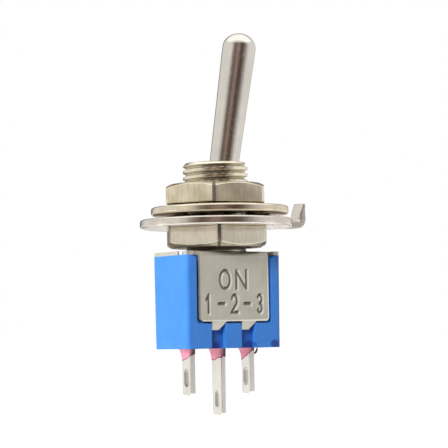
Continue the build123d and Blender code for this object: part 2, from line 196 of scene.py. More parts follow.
def strip(
    path: np.ndarray,
    low: np.ndarray,
    high: np.ndarray,
    thickness: Any,
    edge: float,
    longest: float = 0.3,
) -> np.ndarray:
    """A bent strip of sheet with every edge rounded, as a section carried along a plane path.

    A row's section is the sheet's section drawn in by the edge radius e and then swollen again by
    sqrt(e^2 - (e - d)^2), where d is the row's distance from the nearer end: nothing at the end
    itself and e from there inwards. One more row at each end is folded flat to close it.

    Args:
        path: the middle of the sheet in its own plane, (n, 2).
        low: the lower end of the width at each point of the path, (n,).
        high: the upper end of the width at each point of the path, (n,).
        thickness: the sheet's thickness, one or one for each point of the path.
        edge: the radius of its edges.
        longest: the longest span along the path.

    Returns:
        The grid, (rows, loop, 3): first and second plane coordinates, then the width's.
    """
    near = edge * (1 - np.cos(np.radians([18, 36, 54, 72, 90])))
    place = np.concatenate([[0], np.cumsum(np.linalg.norm(np.diff(path, axis=0), axis=1))])
    along, line = resampled(path, longest, [*near, *(-near)])
    low, high = np.interp(along, place, low), np.interp(along, place, high)
    half = np.interp(along, place, np.broadcast_to(thickness, place.shape)) / 2
    distance = np.minimum(np.minimum(along, along[-1] - along), edge)
    swell = np.sqrt(np.maximum(edge**2 - (edge - distance) ** 2, 0))
    tangent = np.gradient(line, along, axis=0)
    tangent /= np.linalg.norm(tangent, axis=1, keepdims=True)
    normal = np.column_stack([-tangent[:, 1], tangent[:, 0]])
    corner = np.radians(np.linspace(0, 90, 4))
    turn = np.concatenate([corner + quarter * np.pi / 2 for quarter in (2, 3, 0, 1)])
    share = np.repeat([0.0, 1.0, 1.0, 0.0], 4)
    level = np.repeat([-1.0, -1.0, 1.0, 1.0], 4) * np.maximum(half - edge, 0)[:, None]
    across = low[:, None] + edge + share * (high - low - 2 * edge)[:, None] + swell[:, None] * np.cos(turn)
    height = level + np.minimum(swell, half)[:, None] * np.sin(turn)
    across = np.vstack([across[:1], across, across[-1:]])
    height = np.vstack([0 * height[:1], height, 0 * height[-1:]])
    rows = np.concatenate([[0], np.arange(len(line)), [len(line) - 1]])
    flat = line[rows][:, None] + normal[rows][:, None] * height[..., None]
    return np.concatenate([flat, across[..., None]], -1)


def leaned(points: np.ndarray, pivot: Sequence[float], degrees: float) -> np.ndarray:
    """Points round the origin, turned about Y so that their Z leans towards X, and moved to a pivot."""
    c, s = math.cos(math.radians(degrees)), math.sin(math.radians(degrees))
    return points @ np.array([[c, 0, -s], [0, 1, 0], [s, 0, c]]) + np.array(pivot)


# ---- Meshes --------------------------------------------------------------------------------


@dataclass
class Skin:
    """One piece's mesh, gathered from grids of points in millimetres."""

    points: list[np.ndarray] = field(default_factory=list)
    faces: list[np.ndarray] = field(default_factory=list)
    shades: list[np.ndarray] = field(default_factory=list)
    count: int = 0

    def grid(
        self,
        grid: np.ndarray,
        rows_close: bool = False,
        columns_close: bool = False,
        pressed: Any = 0.0,
    ) -> "Skin":
        """Add a grid of points as quads.

        Args:
            grid: the points, (rows, columns, 3).
            rows_close: whether the last row joins the first.
            columns_close: whether the last column joins the first.
            pressed: how much painted shade each point carries, a painted highlight below zero; one or (rows,
                columns).

        Returns:
            The same skin.
        """
        rows, columns = grid.shape[:2]
        row = np.arange(rows if rows_close else rows - 1)[:, None]
        column = np.arange(columns if columns_close else columns - 1)[None]
        next_row, next_column = (row + 1) % rows, (column + 1) % columns
        corners = [(row, column), (next_row, column), (next_row, next_column), (row, next_column)]
        quads = np.stack([r * columns + c for r, c in corners], -1).reshape(-1, 4)
        self.faces.append(quads + self.count)
        self.points.append(grid.reshape(-1, 3))
        self.shades.append(np.broadcast_to(pressed, (rows, columns)).ravel())
        self.count += rows * columns
        return self

    def mesh(self, name: str) -> bpy.types.Mesh:
        """Put the grids into one mesh in metres, not sewn yet, with the painted shade and highlight as an attribute.

        Args:
            name: the mesh's name.

        Returns:
            The mesh.
        """
        mesh = bpy.data.meshes.new(name)
        faces = [face for group in self.faces for face in group.tolist()]
        mesh.from_pydata(np.vstack(self.points) * MM, [], faces)
        shades = mesh.attributes.new("pressed", "FLOAT", "POINT")
        shades.data.foreach_set("value", np.concatenate(self.shades).astype(np.float32))
        return mesh

    def piece(self, name: str, outward: bool = True) -> bpy.types.Object:
        """Sew the seams and poles and make the object.

        Args:
            name: the piece's name.
            outward: whether faces are turned outwards here.

        Returns:
            The object, at the origin and unscaled.
        """
        mesh = self.mesh(name)
        sheet = bmesh.new()
        sheet.from_mesh(mesh)
        bmesh.ops.remove_doubles(sheet, verts=sheet.verts, dist=1e-7)
        bmesh.ops.dissolve_degenerate(sheet, edges=sheet.edges, dist=1e-8)
        if outward:
            bmesh.ops.recalc_face_normals(sheet, faces=sheet.faces)
        sheet.to_mesh(mesh)
        sheet.free()
        return finished_object(name, mesh)


def finished_object(name: str, mesh: bpy.types.Mesh, sharp: float = 50.0) -> bpy.types.Object:
    """Put a mesh into the scene with smooth faces, sharp creases and area-weighted normals.

    Args:
        name: the piece's name.
        mesh: its mesh.
        sharp: the angle past which a crease stays sharp, in degrees.

    Returns:
        The object.
    """
    mesh.shade_smooth()
    mesh.set_sharp_from_angle(angle=math.radians(sharp))
    obj = bpy.data.objects.new(name, mesh)
    bpy.context.scene.collection.objects.link(obj)
    weighted = obj.modifiers.new("even_normals", "WEIGHTED_NORMAL")
    weighted.keep_sharp = True
    weighted.weight = 80
    return obj


def broken_edges(node: str, width: float) -> bmesh.types.BMesh:
    """A copy of a frame node with its facets merged and its sharp edges rounded over.

    Args:
        node: the frame node.
        width: how far the rounding reaches on each side of an edge, in millimetres.

    Returns:
        The copy, still in metres.
    """
    copy = bmesh.new()
    copy.from_mesh(frame["nodes"][node].data)
    bmesh.ops.remove_doubles(copy, verts=copy.verts, dist=1e-7)
    bmesh.ops.dissolve_limit(copy, angle_limit=math.radians(1), verts=copy.verts, edges=copy.edges)
    limit = math.radians(ROUNDED_PAST)
    edges = [edge for edge in copy.edges if edge.is_manifold and edge.calc_face_angle() > limit]
    bmesh.ops.bevel(
        copy,
        geom=edges,
        offset=width * MM,
        offset_type="OFFSET",
        segments=ROUNDING_STEPS,
        profile=0.5,
        affect="EDGES",
        clamp_overlap=True,
    )
    return copy


def from_copy(name: str, copy: bmesh.types.BMesh) -> bpy.types.Object:
    """Make a piece from an edited copy of a node, and free the copy.

    Args:
        name: the piece's name.
        copy: the copy, in metres.

    Returns:
        The piece.
    """
    mesh = bpy.data.meshes.new(name)
    copy.to_mesh(mesh)
    copy.free()
    return finished_object(name, mesh, 60)


# ---- Shading -------------------------------------------------------------------------------


@dataclass
class Shade:
    """A socket that takes part in arithmetic; each operation adds its Math node."""

    tree: bpy.types.NodeTree
    socket: bpy.types.NodeSocket

    def maths(self, operation: str, *values: Any) -> "Shade":
        """Add a Math node.

        Args:
            operation: the node's operation.
            values: what goes into its sockets, in order.

        Returns:
            Its result.
        """
        node = self.tree.nodes.new("ShaderNodeMath")
        node.operation = operation
        for place, value in enumerate(values):
            if isinstance(value, Shade):
                self.tree.links.new(value.socket, node.inputs[place])
            else:
                node.inputs[place].default_value = value
        return Shade(self.tree, node.outputs[0])

    def __add__(self, other: Any) -> "Shade":
        """This plus other."""
        return self.maths("ADD", self, other)

    __radd__ = __add__

    def __sub__(self, other: Any) -> "Shade":
        """This less other."""
        return self.maths("SUBTRACT", self, other)

    def __rsub__(self, other: Any) -> "Shade":
        """Other less this."""
        return self.maths("SUBTRACT", other, self)

    def __mul__(self, other: Any) -> "Shade":
        """This times other."""
        return self.maths("MULTIPLY", self, other)

    __rmul__ = __mul__

    def __truediv__(self, other: Any) -> "Shade":
        """This over other."""
        return self.maths("DIVIDE", self, other)

    def __abs__(self) -> "Shade":
        """This without its sign."""
        return self.maths("ABSOLUTE", self)

    def root(self) -> "Shade":
        """Its square root."""
        return self.maths("SQRT", self)

    def at_least(self, other: Any) -> "Shade":
        """The larger of this and other."""
        return self.maths("MAXIMUM", self, other)

    def above(self, limit: float, softness: float) -> "Shade":
        """0 below the limit and 1 above it, with a soft step between.

        Args:
            limit: the middle of the step.
            softness: how far the step reaches on each side.

        Returns:
            The mask.
        """
        node = self.tree.nodes.new("ShaderNodeMapRange")
        node.interpolation_type = "SMOOTHSTEP"
        node.inputs["From Min"].default_value = limit - softness
        node.inputs["From Max"].default_value = limit + softness
        self.tree.links.new(self.socket, node.inputs["Value"])
        return Shade(self.tree, node.outputs["Result"])


def span(first: Shade, second: Shade) -> Shade:
    """The length that two lengths at right angles reach: sqrt(first^2 + second^2)."""
    return (first * first + second * second).root()


class Recipe:
    """A material under way: its tree, its shader and the patterns that feed it."""

    def __init__(self, name: str) -> None:
        """Start a material with a bare shader.

        Args:
            name: the material's name.
        """
        self.material = bpy.data.materials.new(name)
        self.material.use_nodes = True
        self.tree = self.material.node_tree
        self.shader = self.tree.nodes["Principled BSDF"]

    def node(self, kind: str, settings: dict[str, Any] | None = None, inputs: dict[str, Any] | None = None) -> Any:
        """Add any node.

        Args:
            kind: the node's type.
            settings: its properties, which are set first.
            inputs: the values or links of its sockets, by name or place.

        Returns:
            The node.
        """
        node = self.tree.nodes.new(kind)
        for key, value in (settings or {}).items():
            setattr(node, key, value)
        for key, value in (inputs or {}).items():
            self.feed(node.inputs[key], value)
        return node

    def feed(self, socket: Any, value: Any) -> None:
        """Link a shade or a socket to a socket, or set it to a constant.

        Args:
            socket: the socket that is fed.
            value: a shade, a socket, a number or a colour.
        """
        if isinstance(value, Shade):
            self.tree.links.new(value.socket, socket)
        elif isinstance(value, bpy.types.NodeSocket):
            self.tree.links.new(value, socket)
        elif isinstance(value, tuple) and len(value) == 3 and socket.type == "RGBA":
            socket.default_value = (*value, 1)
        else:
            socket.default_value = value

    def place(self, stretch: Sequence[float] = (1, 1, 1)) -> Any:
        """The piece's own coordinates in millimetres, stretched by a factor along each axis.

        Args:
            stretch: the factors; a small one draws a pattern out along its axis.

        Returns:
            The vector socket.
        """
        coordinates = self.node("ShaderNodeTexCoord")
        scale = tuple(factor / MM for factor in stretch)
        mapping = self.node("ShaderNodeMapping", {}, {"Vector": coordinates.outputs["Object"], "Scale": scale})
        return mapping.outputs["Vector"]

    def axis(self, name: str) -> Shade:
        """One coordinate of the surface, in millimetres."""
        parts = self.node("ShaderNodeSeparateXYZ", {}, {"Vector": self.place()})
        return Shade(self.tree, parts.outputs[name])

    def noise(
        self,
        scale: float,
        detail: float = 3,
        stretch: Sequence[float] = (1, 1, 1),
        rough: float = 0.5,
    ) -> Shade:
        """Cloudy noise from 0 to 1.

        Args:
            scale: features per millimetre.
            detail: octaves.
            stretch: factors along the axes.
            rough: how much the finer octaves count.

        Returns:
            The noise.
        """
        inputs = {"Vector": self.place(stretch), "Scale": scale, "Detail": detail, "Roughness": rough}
        node = self.node("ShaderNodeTexNoise", {}, inputs)
        return Shade(self.tree, node.outputs[0])

    def attribute(self, name: str) -> Shade:
        """A number that the piece's mesh carries at each point or face."""
        return Shade(self.tree, self.node("ShaderNodeAttribute", {"attribute_name": name}).outputs["Fac"])

    def mix(self, factor: Any, first: Any, second: Any) -> Any:
        """Blend two colours.

        Args:
            factor: the share of the second.
            first: a colour or a colour socket.
            second: a colour or a colour socket.

        Returns:
            The colour socket.
        """
        node = self.tree.nodes.new("ShaderNodeMix")
        node.data_type = "RGBA"
        self.feed(node.inputs[0], factor)
        self.feed(node.inputs[6], first)
        self.feed(node.inputs[7], second)
        return node.outputs[2]

    def bump(self, height: Shade, depth: float, strength: float = 1.0) -> Any:
        """The normal that a height pattern gives, the depth being its full range in millimetres."""
        inputs = {"Height": height, "Distance": depth * MM, "Strength": strength}
        return self.node("ShaderNodeBump", {}, inputs).outputs["Normal"]

    def finish(self, **sockets: Any) -> bpy.types.Material:
        """Feed the shader; a name's underscores are its socket's spaces.

        Args:
            sockets: values or links by socket name.

        Returns:
            The material.
        """
        for name, value in sockets.items():
            self.feed(self.shader.inputs[name.replace("_", " ")], value)
        return self.material


class Grain(Enum):
    """How a metal's fine marks run."""

    NONE = (1.0, 1.0, 1.0)
    UPRIGHT = (1.0, 1.0, 0.06)
    LEVEL = (0.08, 0.08, 1.0)


# Colours of random grime together with painted shade, of a painted highlight, and of painted shade alone.
BLACK_GRIME_AND_SHADE = (0.03, 0.022, 0.015)
PAINTED_HIGHLIGHT = (0.86, 0.84, 0.78)
BROWN_PAINTED_SHADE = (0.050, 0.034, 0.012)


@dataclass(frozen=True)
class Metal:
    """A plated or bare metal: two tones in soft patches, fine marks along the grain, pits and grime.

    Above zero the mesh's painted shading attribute paints shade, and below zero a highlight. A metal with a root
    shade also gets painted shade between the radii round the thread's root, stronger on the side that faces the given
    side.
    """

    light: Colour
    dark: Colour
    roughness: float
    grain: Grain = Grain.NONE
    marks: float = 0.5
    spread: float = 0.10
    grime: float = 0.0
    pressed: float = 0.0
    root_shade: float = 0.0
    metallic: float = 1.0
    grime_and_shade_colour: Colour = (0.10, 0.075, 0.05)
    relief: float = 0.004
    shade_side: tuple[float, float] = (-0.56, -0.83)
    root_radii: tuple[float, float, float] = (2.15, 2.25, 2.33)

    def material(self, label: str) -> bpy.types.Material:
        """Make the material.

        Args:
            label: its name.

        Returns:
            The material.
        """
        recipe = Recipe(label)
        patches = recipe.noise(0.55, 4)
        fine = recipe.noise(9.0, 6, self.grain.value, 0.65)
        specks = recipe.noise(14.0, 3).above(0.70, 0.05)
        tone = patches * 0.6 + fine * 0.4
        colour = recipe.mix(tone.above(0.5, 0.22), self.dark, self.light)
        grime_and_shade = (recipe.noise(1.6, 5, rough=0.7).above(0.58, 0.14) + specks * 0.5) * self.grime
        # Painted shade above zero and a painted highlight below zero, from the mesh's attribute.
        if self.pressed:
            mark = recipe.attribute("pressed")
            grime_and_shade = grime_and_shade + mark.at_least(0.0) * (self.pressed * (0.6 + 0.4 * patches))
            colour = recipe.mix(mark * -0.85, colour, PAINTED_HIGHLIGHT)
        # Painted shade in the thread's grooves, stronger on the side that faces the given direction.
        if self.root_shade:
            x, y = recipe.axis("X"), recipe.axis("Y")
            inner, root, outer = self.root_radii
            radius, front = span(x, y), (x * self.shade_side[0] + y * self.shade_side[1]) / root
            depth = (1 - radius.above(outer, 0.06)) * radius.above(inner, 0.05)
            grime_and_shade = grime_and_shade + depth * (self.root_shade * (0.35 + 0.65 * front.above(0.90, 0.07)))
        # Random grime and the painted shade darken towards the same colour.
        colour = recipe.mix(grime_and_shade, colour, self.grime_and_shade_colour)
        roughness = self.roughness + (fine - 0.5) * self.spread * 2 + (patches - 0.5) * self.spread + grime_and_shade * 0.25
        height = fine * 0.8 + recipe.noise(2.2, 3) * 0.6 - specks * 0.4
        return recipe.finish(
            Base_Color=colour,
            Metallic=(1.0 - grime_and_shade * 0.6) * self.metallic,
            Roughness=roughness,
            Normal=recipe.bump(height, self.relief, self.marks),
        )


@dataclass(frozen=True)
class Moulding:
    """Moulded plastic: an even colour with a faint bloom, a fine texture and a satin skin.

    A painted shadow gathers inside a rounded outline of a half width, a lower end and a corner radius, and a little
    past it. Small dark spots sit at places (x, z).
    """

    colour: Colour
    bloom: Colour
    roughness: float = 0.50
    texture: float = 0.006
    shadow_outline: tuple[float, float, float] | None = None
    dark_spots: tuple[tuple[float, float], ...] = ()
    painted_shade: Colour = (0.008, 0.045, 0.30)
    shaded: Colour = (0.010, 0.018, 0.07)
    spot_colour: Colour = (0.012, 0.025, 0.20)
    scuffed: Colour = (0.85, 0.80, 0.82)

    def material(self, label: str) -> bpy.types.Material:
        """Make the material.

        Args:
            label: its name.

        Returns:
            The material.
        """
        recipe = Recipe(label)
        cloud = recipe.noise(0.8, 5, rough=0.6)
        skin = recipe.noise(11.0, 5, rough=0.6)
        scuffs = recipe.noise(5.0, 6, (1.0, 1.0, 0.15), 0.7).above(0.66, 0.07)
        colour = recipe.mix(cloud.above(0.52, 0.25) * 0.35 + scuffs * 0.25, self.colour, self.bloom)
        # Painted shade where the mesh's attribute is set, on the case's groove floors.
        colour = recipe.mix(recipe.attribute("pressed") * 0.6, colour, self.painted_shade)
        x, z = recipe.axis("X"), recipe.axis("Z")
        # A painted shadow round the flange's outline.
        if self.shadow_outline:
            half, low, corner = self.shadow_outline
            aside, under = (abs(x) - (half - corner)).at_least(0.0), ((low + corner) - z).at_least(0.0)
            gap = span(aside, under) - corner
            colour = recipe.mix((1 - gap.above(0.10, 0.05)) * 0.85, colour, self.shaded)
        for place, level in self.dark_spots:
            reach = span(x - place, (z - level) * math.sqrt(1.6))
            spot = 1 - (reach + (cloud - 0.5) * 0.3).above(0.40, 0.13)
            colour = recipe.mix(spot * 0.8, colour, self.spot_colour)
        # A painted highlight on the tops of the case's nubs.
        colour = recipe.mix(recipe.attribute("scuffed") * 0.6, colour, self.scuffed)
        return recipe.finish(
            Base_Color=colour,
            Roughness=self.roughness + (skin - 0.5) * 0.15 + scuffs * 0.12,
            Specular_IOR_Level=0.25,
            Normal=recipe.bump(skin + cloud * 0.5, self.texture, 0.6),
        )


@dataclass(frozen=True)
class Resin:
    """Potting resin: pinkish red, cloudy and glossy on top, with a dark colour mixed in by its attribute: painted
    shade on the skirts, and the whole hair.
    """

    light: Colour
    dark: Colour
    dark_resin: Colour = (0.10, 0.008, 0.005)

    def material(self, label: str) -> bpy.types.Material:
        """Make the material.

        Args:
            label: its name.

        Returns:
            The material.
        """
        recipe = Recipe(label)
        cloud = recipe.noise(0.9, 5, rough=0.6)
        grain = recipe.noise(7.0, 4)
        colour = recipe.mix(cloud.above(0.5, 0.2), self.dark, self.light)
        return recipe.finish(
            # The dark colour paints shade where the mesh's attribute is set.
            Base_Color=recipe.mix(recipe.attribute("pressed"), colour, self.dark_resin),
            Roughness=0.34 + (grain - 0.5) * 0.2,
            Coat_Weight=0.4,
            Coat_Roughness=0.12,
            Normal=recipe.bump(grain + cloud, 0.02, 0.5),
        )


class Finish(Enum):
    """Each finish on the switch, under its slot's name in the record."""

    blue_moulding = Moulding(
        (0.040, 0.200, 0.620),
        (0.085, 0.270, 0.720),
        shadow_outline=(3.15, -10.62, 0.3),
        dark_spots=((-1.43, -12.45), (1.55, -12.45), (3.70, -12.40)),
    )
    # The strengths of each finish's painted shade and highlight, and of the bushing's painted thread shade, are set
    # here.
    plated_stamping = Metal(
        (0.54, 0.510, 0.425),
        (0.46, 0.44, 0.365),
        0.34,
        grime=0.06,
        pressed=1.1,
        metallic=0.5,
        grime_and_shade_colour=BLACK_GRIME_AND_SHADE,
    )
    plated_turning = Metal(
        (0.84, 0.77, 0.62),
        (0.64, 0.58, 0.45),
        0.23,
        Grain.LEVEL,
        0.25,
        pressed=0.7,
        root_shade=0.85,
        grime_and_shade_colour=BROWN_PAINTED_SHADE,
    )
    backing_nut = Metal(
        (0.75, 0.69, 0.56),
        (0.585, 0.53, 0.42),
        0.22,
        Grain.UPRIGHT,
        0.5,
        grime=0.06,
        pressed=1.0,
        grime_and_shade_colour=BLACK_GRIME_AND_SHADE,
    )
    plated_nut = Metal(
        (0.80, 0.72, 0.54),
        (0.48, 0.41, 0.28),
        0.22,
        Grain.UPRIGHT,
        0.8,
        grime=0.06,
        pressed=1.0,
        grime_and_shade_colour=BLACK_GRIME_AND_SHADE,
    )
    plated_washer = Metal((0.76, 0.67, 0.51), (0.54, 0.47, 0.35), 0.22, Grain.LEVEL, 0.5, grime=0.10)
    plated_ring = Metal((0.68, 0.63, 0.55), (0.54, 0.49, 0.42), 0.20, Grain.LEVEL, 0.5, grime=0.08, pressed=0.4)
    polished_lever = Metal((0.69, 0.645, 0.57), (0.58, 0.55, 0.49), 0.09, Grain.NONE, 0.9, 0.03, relief=0.016)
    nylon = Moulding((0.78, 0.75, 0.66), (0.84, 0.82, 0.75), 0.45)
    spring_wire = Metal((0.55, 0.55, 0.53), (0.36, 0.36, 0.35), 0.25)
    contact_strip = Metal((0.72, 0.48, 0.24), (0.55, 0.34, 0.16), 0.30, grime=0.08)
    silver_contact = Metal((0.86, 0.85, 0.80), (0.66, 0.64, 0.58), 0.24)
    plated_lug = Metal((0.79, 0.76, 0.70), (0.67, 0.645, 0.59), 0.32, Grain.UPRIGHT, 0.5, grime=0.08, pressed=0.35)
    sealing_resin = Resin((0.92, 0.33, 0.44), (0.84, 0.28, 0.38))

    @property
    def slot(self) -> str:
        """The record's slot; the ring and the backing nut share theirs."""
        shared = {Finish.plated_ring: "plated_washer", Finish.backing_nut: "plated_nut"}
        return shared.get(self, self.name)

    def dress(self, obj: bpy.types.Object) -> None:
        """Give a piece this finish.

        Args:
            obj: the piece, or a frame node that stays.
        """
        label = f"{self.name}_finish"
        material = bpy.data.materials.get(label) or self.value.material(label)
        obj.data.materials.clear()
        obj.data.materials.append(material)


def deliver(piece: bpy.types.Object, node: str, body: str, finish: Finish) -> None:
    """Dress a piece, ride it on its body and let it stand for its frame node.

    Args:
        piece: the finished object.
        node: the frame node that it replaces.
        body: the body that carries it.
        finish: its finish.
    """
    finish.dress(piece)
    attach(piece, body)
    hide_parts(node)
    log.info("%s: %d faces", piece.name, len(piece.data.polygons))


class Fitting(ABC):
    """A fitting on the housing that is built anew and stands for one node of the frame."""

    node: str
    finish: Finish

    @abstractmethod
    def build(self) -> bpy.types.Object:
        """Build the piece in its place."""

    def dress(self) -> None:
        """Build the piece, give it its finish and let it stand for its node."""
        deliver(self.build(), self.node, "housing", self.finish)


# ---- Bushing -------------------------------------------------------------------------------


@dataclass
class Bushing(Fitting):
    """The threaded bushing: a single-start thread, a keyway, a dished mouth and a ball seat."""

    node = "bushing"
    finish = Finish.plated_turning
    crest_radius: float = 2.5
    root_radius: float = 2.25
    engaged_radius: float = 2.335
    pitch: float = 0.5
    crest_share: float = 0.40
    first_crest: float = 0.23
    fade_level: float = -0.38
    rim_radius: float = 2.28
    mouth_radius: float = 2.05
    neck_radius: float = 1.27
    seat_radius: float = 1.40
    spigot_radius: float = 1.62
    stake_radius: float = 1.78
    pivot_height: float = -3.12
    keyway_width: float = 0.9
    keyway_floor: float = 2.22
    root_share: float = 0.12
    flank_wave: float = 0.06
    fade_length: float = 0.1
    coarse_end: float = -0.6
    fine_start: float = -0.55
    rim_flat: float = 0.06
    dish_break: float = 1.9
    break_width: float = 0.05
    foot_break: float = 0.03
    collar_shadow: float = 1.8
    collar_margins: tuple[float, float] = (0.04, 0.1)
    segments: int = 240

    @property
    def top(self) -> float:
        """The level of the bushing's rim."""
        return float(Extent.of(self.node).high[2])

    def thread(self, angle: np.ndarray, height: np.ndarray) -> np.ndarray:
        """The radius of the thread.

        The phase is height / pitch - angle / turn, and the radius is a rounded trapezoid of it, from
        the root up to the crest. The thread starts under a 45 degree chamfer at the top, and is cut
        short at the engaged radius where the nuts cover it.

        Args:
            angle: the angle round the axis.
            height: the height above the panel nut.

        Returns:
            The radius at each.
        """
        phase = (height - self.first_crest) / self.pitch - angle / (2 * np.pi)
        rise = 1 - np.abs((phase + 0.5) % 1 - 0.5) * 2
        flank = np.clip((rise - self.root_share) / (1 - self.crest_share - self.root_share), 0, 1)
        shaped = flank + self.flank_wave * np.sin(np.pi * flank) ** 2 * (0.5 - flank)
        radius = self.root_radius + (self.crest_radius - self.root_radius) * shaped
        chamfer = self.top - height + self.rim_radius
        covered = np.clip((height - self.fade_level) / self.fade_length, 0, 1)
        limit = self.engaged_radius + (self.crest_radius - self.engaged_radius) * covered
        return np.minimum(np.minimum(radius, chamfer), limit)

    def build(self) -> bpy.types.Object:
        """Build the bushing as one closed grid: the thread, the rim, the dish, the seat and the foot.

        Returns:
            The piece.
        """
        foot = Extent.of(self.node).low[2]
        shoulder = Extent.of("switch_frame").high[2]
        angle = np.linspace(0, 2 * np.pi, self.segments, endpoint=False)[:, None]
        fine = np.linspace(self.fine_start, self.top, 120)
        height = np.concatenate([np.linspace(shoulder, self.coarse_end, 24), fine])[None] + 0 * angle
        radius = self.thread(angle, height)
        mouth, edge = self.mouth_radius, self.break_width
        neck_height = self.pivot_height + math.sqrt(self.seat_radius**2 - self.neck_radius**2)
        seat_start = math.degrees(math.acos(self.neck_radius / self.seat_radius))
        dish_slope = (self.top - neck_height) / (mouth - self.neck_radius)
        rim = np.array([(mouth + self.rim_flat, self.top), (mouth, self.top - edge)])
        dish_radius = np.linspace(mouth - 0.02, self.neck_radius, 24)
        dish_level = neck_height + dish_slope * (dish_radius - self.neck_radius)
        dish_level -= edge * (dish_radius > self.dish_break)
        dish = np.column_stack([dish_radius, dish_level])
        seat = arc((0, self.pivot_height), self.seat_radius, seat_start, 0, 10)
        low_edge = [(self.seat_radius, foot + self.foot_break), (self.seat_radius + self.foot_break, foot)]
        plate = Extent.of("case").high[2]
        outside = [
            (self.stake_radius - edge, foot),
            (self.stake_radius, foot + edge),
            (self.stake_radius, plate),
            (self.spigot_radius, plate),
            (self.spigot_radius, shoulder),
        ]
        ring = np.vstack([rim, dish, seat, low_edge, outside])
        shell = np.concatenate([np.stack([radius, height], -1), np.repeat(ring[None], self.segments, 0)], 1)
        points = about_axis(shell[..., 0], angle, shell[..., 1])
        flat = (np.abs(points[..., 1]) < self.keyway_width / 2) & (points[..., 0] > self.keyway_floor)
        points[..., 0] = np.where(flat, self.keyway_floor, points[..., 0])
        # Painted shadow on the collar between the plate and the backing nut.
        collar = shoulder + self.collar_margins[0], Extent.of("backing_nut").low[2] + self.collar_margins[1]
        painted_shade = (points[..., 2] > collar[0]) & (points[..., 2] < collar[1])
        return Skin().grid(points, True, True, self.collar_shadow * painted_shade).piece("bushing_turned")


# ---- Nuts ----------------------------------------------------------------------------------


@dataclass
class HexNut(Fitting):
    """A slim hexagonal nut with a chamfered crown, a countersunk bore and slightly worn edges."""

    node: str
    finish: Finish
    turn: float
    crown_up: bool
    flats: float = 7.5
    bore: float = 2.35
    face_radius: float = 3.5
    chamfer_angle: float = 25.0
    countersink_radius: float = 2.75
    countersink_depth: float = 0.5
    corner: float = 0.34
    edge: float = 0.07
    edge_shares: tuple[float, ...] = (0.5, 1.2, 1.0, 0.9, 0.5, 0.4)
    corner_spread: float = 3.0
    corner_shading: tuple[float, ...] = (0.7, 0.7, 0.0, 1.0, -0.6, 0.7)
    under_shadow: float = 0.85
    under_depth: float = 0.1

    def outline(self) -> tuple[np.ndarray, np.ndarray, np.ndarray]:
        """The hexagon's radius at each angle.

        On a flat it is apothem / cos n, n being the angle from the flat's middle. Round a corner it is
        c cos d + sqrt(q^2 - c^2 sin^2 d), with d the angle from the corner, q the corner's radius and
        c = (apothem - q) / cos 30 the distance of its centre.

        Returns:
            The angles, the radii, and each point's painted shading: the corner's own share near its middle, a painted
            dark reflection above 0 and a painted highlight below 0, and nothing on the flats.
        """
        apothem, radius = self.flats / 2, self.corner
        centre = (apothem - radius) / math.cos(math.radians(30))
        meet = math.degrees(math.atan((apothem - radius) * math.tan(math.radians(30)) / apothem))
        flat = np.linspace(-meet, meet, 25)
        bend = np.linspace(meet, 60 - meet, 9)[1:-1]
        angle = np.concatenate([np.concatenate([flat, bend]) + 60 * side + 30 for side in range(6)])
        near = np.radians((angle % 60) - 30)
        from_corner = np.radians(30) - np.abs(near)
        round_part = centre * np.cos(from_corner) + np.sqrt(radius**2 - (centre * np.sin(from_corner)) ** 2 + 0j).real
        outline = np.where(np.abs(near) <= math.radians(meet) + 1e-9, apothem / np.cos(near), round_part)
        cornered = np.clip(self.corner_spread * (30 - meet - np.degrees(from_corner)) / (30 - meet), 0, 1)
        corner = (np.round(angle / 60).astype(int) - 1) % 6
        return np.radians(angle + self.turn), outline, cornered * np.array(self.corner_shading)[corner]

    def build(self) -> bpy.types.Object:
        """Carry the nut's half section round the hexagon.

        Returns:
            The piece.
        """
        box = Extent.of(self.node)
        low, high = box.low[2], box.high[2]
        crown, base, down = (high, low, -1) if self.crown_up else (low, high, 1)
        angle, radius, cornered = self.outline()
        drop = (radius - self.face_radius) * math.tan(math.radians(self.chamfer_angle))
        half_section = (
            (self.bore, base),
            (radius, base),
            (radius, crown + down * drop),
            (self.face_radius, crown),
            (self.countersink_radius, crown),
            (self.bore, crown + down * self.countersink_depth),
        )
        corners = np.stack([np.stack([r + 0 * radius, z + 0 * radius], -1) for r, z in half_section], -2)
        section = rounded(corners, self.edge * np.array(self.edge_shares), 3, closed=True)
        side, level = section[..., 0], section[..., 1]
        points = about_axis(side, angle[:, None], level)
        # Painted dark reflection down the corners, and on one corner of the panel nut a painted highlight.
        painted_shade = cornered[:, None] * (side > self.face_radius)
        if not self.crown_up:
            # Painted shadow on the backing nut's underside round the bore.
            under = (side <= self.face_radius) * (np.abs(level - crown) < self.under_depth)
            painted_shade = painted_shade + self.under_shadow * under
        return Skin().grid(points, True, True, painted_shade).piece(f"{self.node}_hexagon")


# ---- Locking ring and lock washer ----------------------------------------------------------


